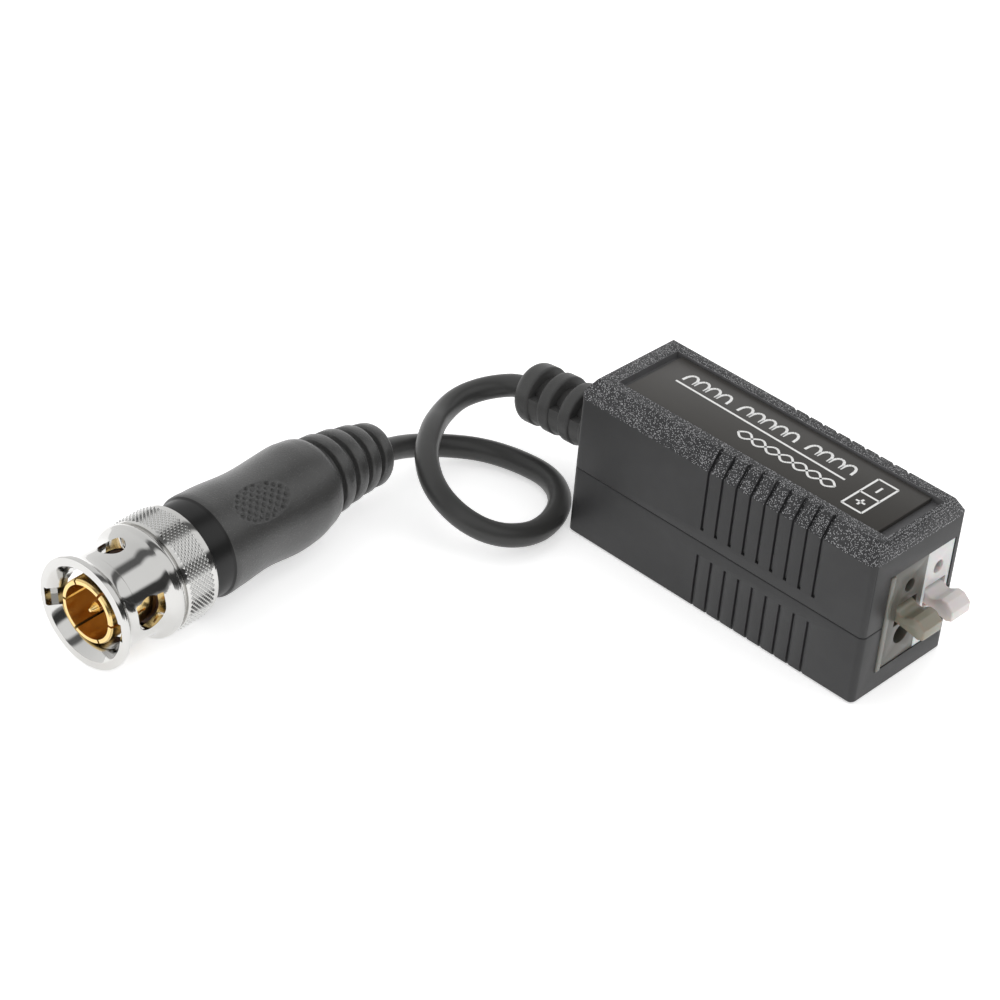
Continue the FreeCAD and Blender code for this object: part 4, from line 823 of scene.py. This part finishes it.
slot_starts = [SLOT_FIRST + index * SLOT_PITCH for index in range(3)]
slot_spans = [(start, start + SLOT_WIDE) for start in slot_starts]
rows = [(0.0, 0.0), (0.0, RELIEF_RADIUS)]
for low, high in slot_spans:
    rows += [(low - 0.5, RELIEF_RADIUS), (low - 0.25, RELIEF_RADIUS), (low - 0.08, RELIEF_RADIUS - 0.07)]
    rows += [(low, RELIEF_RADIUS - 0.25), (low + 0.03, RELIEF_CORE), (high - 0.03, RELIEF_CORE)]
    rows += [(high, RELIEF_RADIUS - 0.25), (high + 0.08, RELIEF_RADIUS - 0.07), (high + 0.25, RELIEF_RADIUS)]
    rows += [(high + 0.5, RELIEF_RADIUS)]
for step in range(DOME_STEPS + 1):
    turn = math.pi / 2 * step / DOME_STEPS
    dome_radius = RELIEF_RADIUS - DOME + DOME * math.cos(turn)
    rows.append((RELIEF_LONG - DOME + DOME * math.sin(turn), dome_radius))
rows.append((RELIEF_LONG, 0.0))
form = lathe(rows, steps=96, closed=False)
print("faces of the turned bar:", len(form.faces))

# %% [markdown]
# ## Strain relief: its webs and its bend
# On the real one the slots don't go all the way round: a web on each side joins the rings. So the points
# at the bottom of each slot are pushed out again there. Then the whole bar is bent about a level axis, so
# that it droops with the lead.

# %% Webs and bend
RELIEF_WEB = 3.75
WEB_HIGH, WEB_LOW, WEB_FADE = 25, -53, 5
RELIEF_BEND = math.radians(8.1)
RELIEF_FOOT = (-22.5, 0, 10.3)

for vert in form.verts:
    radius = math.hypot(vert.co.y, vert.co.z)
    if radius < 0.1:
        continue
    for low, high in slot_spans:
        if low - 0.001 <= vert.co.x <= high + 0.001:
            side = math.degrees(math.atan2(vert.co.z, abs(vert.co.y)))
            below = min(1.0, max(0.0, (WEB_HIGH - side) / WEB_FADE))
            above = min(1.0, max(0.0, (side - WEB_LOW) / WEB_FADE))
            web = below * above
            wanted = radius + (RELIEF_WEB - radius) * web if radius < RELIEF_WEB else radius
            vert.co.y *= wanted / radius
            vert.co.z *= wanted / radius
bend_radius = RELIEF_LONG / RELIEF_BEND
for vert in form.verts:
    turn = vert.co.x / bend_radius
    high = bend_radius + vert.co.z
    vert.co = Vector((-high * math.sin(turn), vert.co.y, high * math.cos(turn) - bend_radius))
bmesh.ops.translate(form, vec=RELIEF_FOOT, verts=form.verts)
bmesh.ops.recalc_face_normals(form, faces=form.faces)
relief = finish_mesh(form, "strain_relief_sleeve", [black_vinyl], smooth=50)
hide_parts("strain_relief")
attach(relief, "housing")

# %% [markdown]
# ## Boot of the plug: its profile
# The boot is moulded over the crimp. It has a smooth lip behind the sleeve, a step, a grip with a slight
# waist that ends in a round shoulder, and a ribbed neck. All of that is round, so it is turned as well.
# The plug's own axis runs from its front face towards the lead, so its pieces are made along X, and the
# last step puts them where the plug lies.

# %% Turned boot
PLUG_FRONT = Vector((-40.46, -70.06, 7.2))
PLUG_TURN = math.radians(94)
PLUG_PLACE = (
    Matrix.Scale(MM, 4)
    @ Matrix.Translation(PLUG_FRONT)
    @ Matrix.Rotation(PLUG_TURN, 4, "Z")
)
NECK_START = 37.4
NECK_LONG = 10.7
NECK_RINGS = 4
NECK_PITCH = NECK_LONG / NECK_RINGS
NECK_RADIUS, NECK_TAPER = 5.15, 0.35
NECK_SLOT, NECK_SLOT_DEEP = 1.1, 0.9
WAIST_START, WAIST_STEP, WAIST_STEPS = 20.0, 0.75, 16
WAIST_RADIUS, WAIST_DEEP, WAIST_TAPER = 6.5, 0.30, 0.12

grip = [
    (23.5, 0.0),
    (23.5, 3.44),
    (15.05, 3.44),
    (15.05, 5.95),
    (15.3, 6.2),
    (17.85, 6.2),
    (18.0, 6.25),
    (18.12, 6.45),
    (18.3, 6.55),
    (19.0, 6.57),
]
for step in range(WAIST_STEPS + 1):
    share = step / WAIST_STEPS
    narrower = WAIST_DEEP * math.sin(math.pi * share) ** 2 + WAIST_TAPER * share
    grip.append((WAIST_START + step * WAIST_STEP, WAIST_RADIUS - narrower))
grip += [
    (33.0, 6.37),
    (34.0, 6.33),
    (34.7, 6.24),
    (35.4, 6.08),
    (36.0, 5.96),
    (36.6, 5.82),
    (37.1, 5.62),
    (37.38, 5.35),
]
for index in range(NECK_RINGS):
    start = NECK_START + index * NECK_PITCH
    outer = NECK_RADIUS - NECK_TAPER * index
    core = outer - NECK_SLOT_DEEP
    slot_end = start + NECK_SLOT
    grip += [(start + 0.12, core + 0.2), (start + 0.3, core)]
    grip += [(slot_end - 0.2, core), (slot_end - 0.05, core + 0.15)]
    grip += [(slot_end, outer - 0.3), (slot_end + 0.1, outer - 0.1), (slot_end + 0.3, outer)]
    grip += [(start + NECK_PITCH - 0.3, outer - 0.03), (start + NECK_PITCH - 0.08, outer - 0.12)]
    grip += [(start + NECK_PITCH, outer - 0.35)]
grip += [(NECK_START + NECK_LONG, 0.0)]
form = lathe(grip, steps=120, closed=False)
print("faces of the turned boot:", len(form.faces))

# %% [markdown]
# ## Boot of the plug: the dimpled oval
# An oval of small dimples gives the fingers a hold. A bump in the material would look flat from the side,
# so it is real relief: the faces there are divided into fine ones and their points are pushed in.

# %% Dimples
DIMPLE_AT = (25.2, math.radians(56))
DIMPLE_HALF = (4.4, 2.6)
DIMPLE_PITCH = 0.86
DIMPLE_DEEP = 0.4
GRIP_RADIUS, SKIN_RADIUS = 6.35, 6.0


def dimple_place(point):
    """Place of a point on the unrolled grip, from the oval's middle: along the axis and round it."""
    turn = math.atan2(point.z, -point.y) - DIMPLE_AT[1]
    turn = (turn + math.pi) % math.tau - math.pi
    return point.x - DIMPLE_AT[0], turn * GRIP_RADIUS


def in_oval(point, more=1.0):
    """Less than 1 inside the oval, or inside one that is larger by a factor."""
    along, round_it = dimple_place(point)
    return (along / DIMPLE_HALF[0] / more) ** 2 + (round_it / DIMPLE_HALF[1] / more) ** 2


patch = []
for face in form.faces:
    middle = face.calc_center_median()
    if math.hypot(middle.y, middle.z) > SKIN_RADIUS and in_oval(middle, 1.15) < 1:
        patch.append(face)
patch_edges = list(dict.fromkeys(edge for face in patch for edge in face.edges))
bmesh.ops.subdivide_edges(form, edges=patch_edges, cuts=5, use_grid_fill=True)
for vert in form.verts:
    radius = math.hypot(vert.co.y, vert.co.z)
    if radius < SKIN_RADIUS or in_oval(vert.co) >= 1:
        continue
    along, round_it = dimple_place(vert.co)
    first = (along + round_it) / DIMPLE_PITCH * math.pi / math.sqrt(2) * 2
    second = (along - round_it) / DIMPLE_PITCH * math.pi / math.sqrt(2) * 2
    pit = (math.sin(first / 2) ** 2) * (math.sin(second / 2) ** 2)
    edge_fade = min(1.0, (1 - in_oval(vert.co)) * 5)
    drop = DIMPLE_DEEP * (0.35 + 0.65 * pit) * edge_fade
    vert.co.y *= (radius - drop) / radius
    vert.co.z *= (radius - drop) / radius
print("faces divided for the oval:", len(patch))

# %% [markdown]
# ## Boot of the plug: its sag and bend
# The grip is soft, so it sags a little between the crimp and the neck, and the neck bends down with the
# lead. Both are done to the finished form, point by point, as a gentle bend modifier would do it.

# %% Sag and bend
SAG_START, SAG_DEEP = 21.0, 0.5
NECK_BEND = math.radians(14.0)
LIP_END = 18.2

for vert in form.verts:
    share = (vert.co.x - SAG_START) / (NECK_START - SAG_START)
    if 0 < share < 1 and math.hypot(vert.co.y, vert.co.z) > 4:
        vert.co.z -= SAG_DEEP * math.sin(math.pi * share ** 1.3) ** 2
neck_radius = NECK_LONG / NECK_BEND
for vert in form.verts:
    if vert.co.x > NECK_START:
        turn = (vert.co.x - NECK_START) / neck_radius
        high = neck_radius + vert.co.z
        vert.co = Vector(
            (NECK_START + high * math.sin(turn), vert.co.y, high * math.cos(turn) - neck_radius)
        )
bmesh.ops.recalc_face_normals(form, faces=form.faces)
for face in form.faces:
    # The lip's faces take the darker vinyl: painted shade.
    face.material_index = 1 if 0 < face.calc_center_median().x < LIP_END else 0
boot = finish_mesh(form, "plug_boot_moulding", [grip_vinyl, lip_painted_shade], PLUG_PLACE, smooth=50)
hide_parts("plug_boot")
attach(boot, "housing")

# %% [markdown]
# ## Coupling sleeve: the turned form
# The nut of a bayonet plug is turned from bar: a thin flange, a barrel that flares out to a collar, and a
# grip. A closed profile spun about the axis is the same work as on the real one, inside and out.

# %% Turned sleeve
BORE, TRACK, CHAMBER = 4.9, 5.65, 5.75
sleeve_profile = [
    (0.0, 6.02),
    (0.0, 6.9),
    (0.04, 7.02),
    (0.14, 7.1),
    (0.52, 7.12),
    (0.64, 7.08),
    (0.74, 6.95),
    (0.95, 6.72),
    (1.25, 6.5),
    (1.65, 6.32),
    (2.15, 6.2),
    (2.7, 6.13),
    (3.06, 6.11),
    (3.12, 6.04),
    (3.2, 5.98),
    (6.3, 5.98),
    (6.75, 6.02),
    (7.15, 6.13),
    (7.5, 6.31),
    (7.8, 6.57),
    (8.0, 6.82),
    (8.1, 6.93),
    (8.16, 6.93),
    (8.24, 6.98),
    (8.42, 7.11),
    (8.7, 7.17),
    (8.98, 7.13),
    (9.18, 7.02),
    (9.3, 6.85),
    (9.34, 6.66),
    (9.75, 6.66),
    (9.8, 6.95),
    (10.0, 7.02),
    (14.0, 7.02),
    (14.15, 7.06),
    (14.5, 7.03),
    (14.68, 6.9),
    (14.75, 6.7),
    (14.75, BORE),
    (12.4, BORE),
    (12.4, CHAMBER),
    (9.65, CHAMBER),
    (9.65, BORE),
    (1.45, BORE),
    (1.2, 5.0),
    (0.12, 5.88),
]
form = lathe(sleeve_profile, steps=160)
sleeve = finish_mesh(form, "coupling_sleeve_turned", [nickel], Matrix.Identity(4), smooth=28)

# %% [markdown]
# ## Coupling sleeve: what is cut out of it
# Two tracks inside its mouth guide the pins of a jack. Each starts with a notch in the rim, runs straight
# back below a window, climbs round the bore as a ramp, and ends in a round lock hole. Every cut gets a
# simple form of its own: cylinders, blocks, and for the ramp a section that is spun while it moves back.

# %% Cutters
ENTRY_TURN, LOCK_TURN = 187, 104
WINDOW_AT, WINDOW_RADIUS, WINDOW_FLAT = 5.0, 2.1, 1.75
LOCK_AT, LOCK_RADIUS = 5.8, 1.65
NOTCH_RADIUS, NOTCH_DEEP = 6.3, 1.4
TRACK_WIDE, TRACK_FOOT = 2.3, 4.0
RAMP_STEPS = 20
CUT_DEEP, CUT_AT = 4, 6


def plug_turn(degrees):
    """The turn about the plug's axis that takes straight up to an angle counted from its near side."""
    return Matrix.Rotation(math.radians(degrees - 90), 4, "X").inverted()


cutters = bmesh.new()
for half_turn in (0, 180):
    window = (WINDOW_AT, WINDOW_RADIUS, ENTRY_TURN)
    lock = (LOCK_AT, LOCK_RADIUS, LOCK_TURN)
    for along, radius, turn in (window, lock):
        hole = bmesh.ops.create_cone(
            cutters, cap_ends=True, segments=64, radius1=radius, radius2=radius, depth=CUT_DEEP
        )["verts"]
        bmesh.ops.translate(cutters, vec=(along, 0, CUT_AT), verts=hole)
        bmesh.ops.transform(cutters, matrix=plug_turn(turn + half_turn), verts=hole)
    flat = bmesh.ops.create_cube(cutters, size=1)["verts"]
    bmesh.ops.scale(cutters, vec=(2 * WINDOW_RADIUS, WINDOW_FLAT, CUT_DEEP), verts=flat)
    bmesh.ops.translate(cutters, vec=(WINDOW_AT, WINDOW_FLAT / 2, CUT_AT), verts=flat)
    bmesh.ops.transform(cutters, matrix=plug_turn(ENTRY_TURN + half_turn), verts=flat)
    for start, end, top in ((-1, NOTCH_DEEP, NOTCH_RADIUS), (-0.9, 1.5 * TRACK_WIDE, TRACK)):
        slot = bmesh.ops.create_cube(cutters, size=1)["verts"]
        bmesh.ops.scale(cutters, vec=(end - start, TRACK_WIDE, top - TRACK_FOOT), verts=slot)
        bmesh.ops.translate(cutters, vec=((start + end) / 2, 0, (top + TRACK_FOOT) / 2), verts=slot)
        bmesh.ops.transform(cutters, matrix=plug_turn(ENTRY_TURN + half_turn), verts=slot)
    # The ramp is the track's own section, spun about the axis while it moves back
    section = bmesh.ops.create_grid(cutters, x_segments=1, y_segments=1, size=0.5)["verts"]
    bmesh.ops.rotate(cutters, matrix=Matrix.Rotation(math.pi / 2, 3, "X"), verts=section)
    bmesh.ops.scale(cutters, vec=(TRACK_WIDE, 1, TRACK - TRACK_FOOT), verts=section)
    bmesh.ops.translate(cutters, vec=(TRACK_WIDE, 0, (TRACK + TRACK_FOOT) / 2), verts=section)
    bmesh.ops.transform(cutters, matrix=plug_turn(ENTRY_TURN + half_turn), verts=section)
    face = section[0].link_faces[0]
    bmesh.ops.spin(
        cutters,
        geom=list(face.verts) + list(face.edges) + [face],
        cent=(0, 0, 0),
        axis=(1, 0, 0),
        dvec=((LOCK_AT - TRACK_WIDE) / RAMP_STEPS, 0, 0),
        angle=math.radians(ENTRY_TURN - LOCK_TURN),
        steps=RAMP_STEPS,
        use_duplicate=False,
    )
bmesh.ops.recalc_face_normals(cutters, faces=cutters.faces)
open_edges = [edge for edge in cutters.edges if len(edge.link_faces) != 2]
print("open edges of the cutters:", len(open_edges))
print("volume of the cutters in cubic mm:", round(cutters.calc_volume(), 1))

# %% [markdown]
# ## Coupling sleeve: the cut
# A Boolean modifier takes the cutters away from the turned form in one go. Its result is kept as the
# sleeve's own mesh, and only then is the sleeve put where the plug lies.

# %% Carve the sleeve
cutter_mesh = bpy.data.meshes.new("sleeve_cutter")
cutters.to_mesh(cutter_mesh)
cutters.free()
cutter = bpy.data.objects.new("sleeve_cutter", cutter_mesh)
scene.collection.objects.link(cutter)


def carve(piece, tool):
    """Cuts one object out of another and drops the tool."""
    step = piece.modifiers.new("carve", "BOOLEAN")
    step.operation = "DIFFERENCE"
    step.solver = "EXACT"
    step.use_self = True
    step.object = tool
    bpy.context.view_layer.update()
    cut = bpy.data.meshes.new_from_object(piece.evaluated_get(bpy.context.evaluated_depsgraph_get()))
    piece.modifiers.clear()
    piece.data = cut
    bpy.data.objects.remove(tool)
    print(piece.name, "after carving:", len(cut.polygons), "faces")


carve(sleeve, cutter)
sleeve.data.transform(PLUG_PLACE)
sleeve.data.set_sharp_from_angle(angle=math.radians(28))
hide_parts("coupling_sleeve")
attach(sleeve, "sleeve")

# %% [markdown]
# ## Knurl of the sleeve
# A diamond knurl is rolled with two crossing sets of slanted teeth. Poking every face of a squared band
# puts a point in its middle. When the band's own edges are then dissolved, what is left is a net of
# diamonds, and each of these is poked again to make its small pyramid.

# %% Knurl
KNURL_LOW, KNURL_HIGH, KNURL_BASE = 10.05, 13.95, 6.98
KNURL_COLUMNS, KNURL_ROWS = 68, 7
KNURL_TALL = 0.26

knurl = bmesh.new()
band = []
for row in range(KNURL_ROWS + 1):
    band.append((KNURL_LOW + (KNURL_HIGH - KNURL_LOW) * row / KNURL_ROWS, KNURL_BASE))
profile = chain(knurl, band)
bmesh.ops.spin(
    knurl, geom=profile, cent=(0, 0, 0), axis=(1, 0, 0), angle=math.tau, steps=KNURL_COLUMNS, use_merge=True
)
bmesh.ops.remove_doubles(knurl, verts=knurl.verts, dist=1e-5)
bmesh.ops.recalc_face_normals(knurl, faces=knurl.faces)
band_edges = [edge for edge in knurl.edges if len(edge.link_faces) == 2]
bmesh.ops.poke(knurl, faces=knurl.faces, offset=0)
for vert in knurl.verts:
    radius = math.hypot(vert.co.y, vert.co.z)
    vert.co.y *= KNURL_BASE / radius
    vert.co.z *= KNURL_BASE / radius
bmesh.ops.dissolve_edges(knurl, edges=band_edges, use_verts=False)
bmesh.ops.poke(knurl, faces=[face for face in knurl.faces if len(face.verts) == 4], offset=KNURL_TALL)
knurl_piece = finish_mesh(knurl, "sleeve_knurl", [nickel_knurl], PLUG_PLACE)
for face in knurl_piece.data.polygons:
    face.use_smooth = False
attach(knurl_piece, "sleeve")
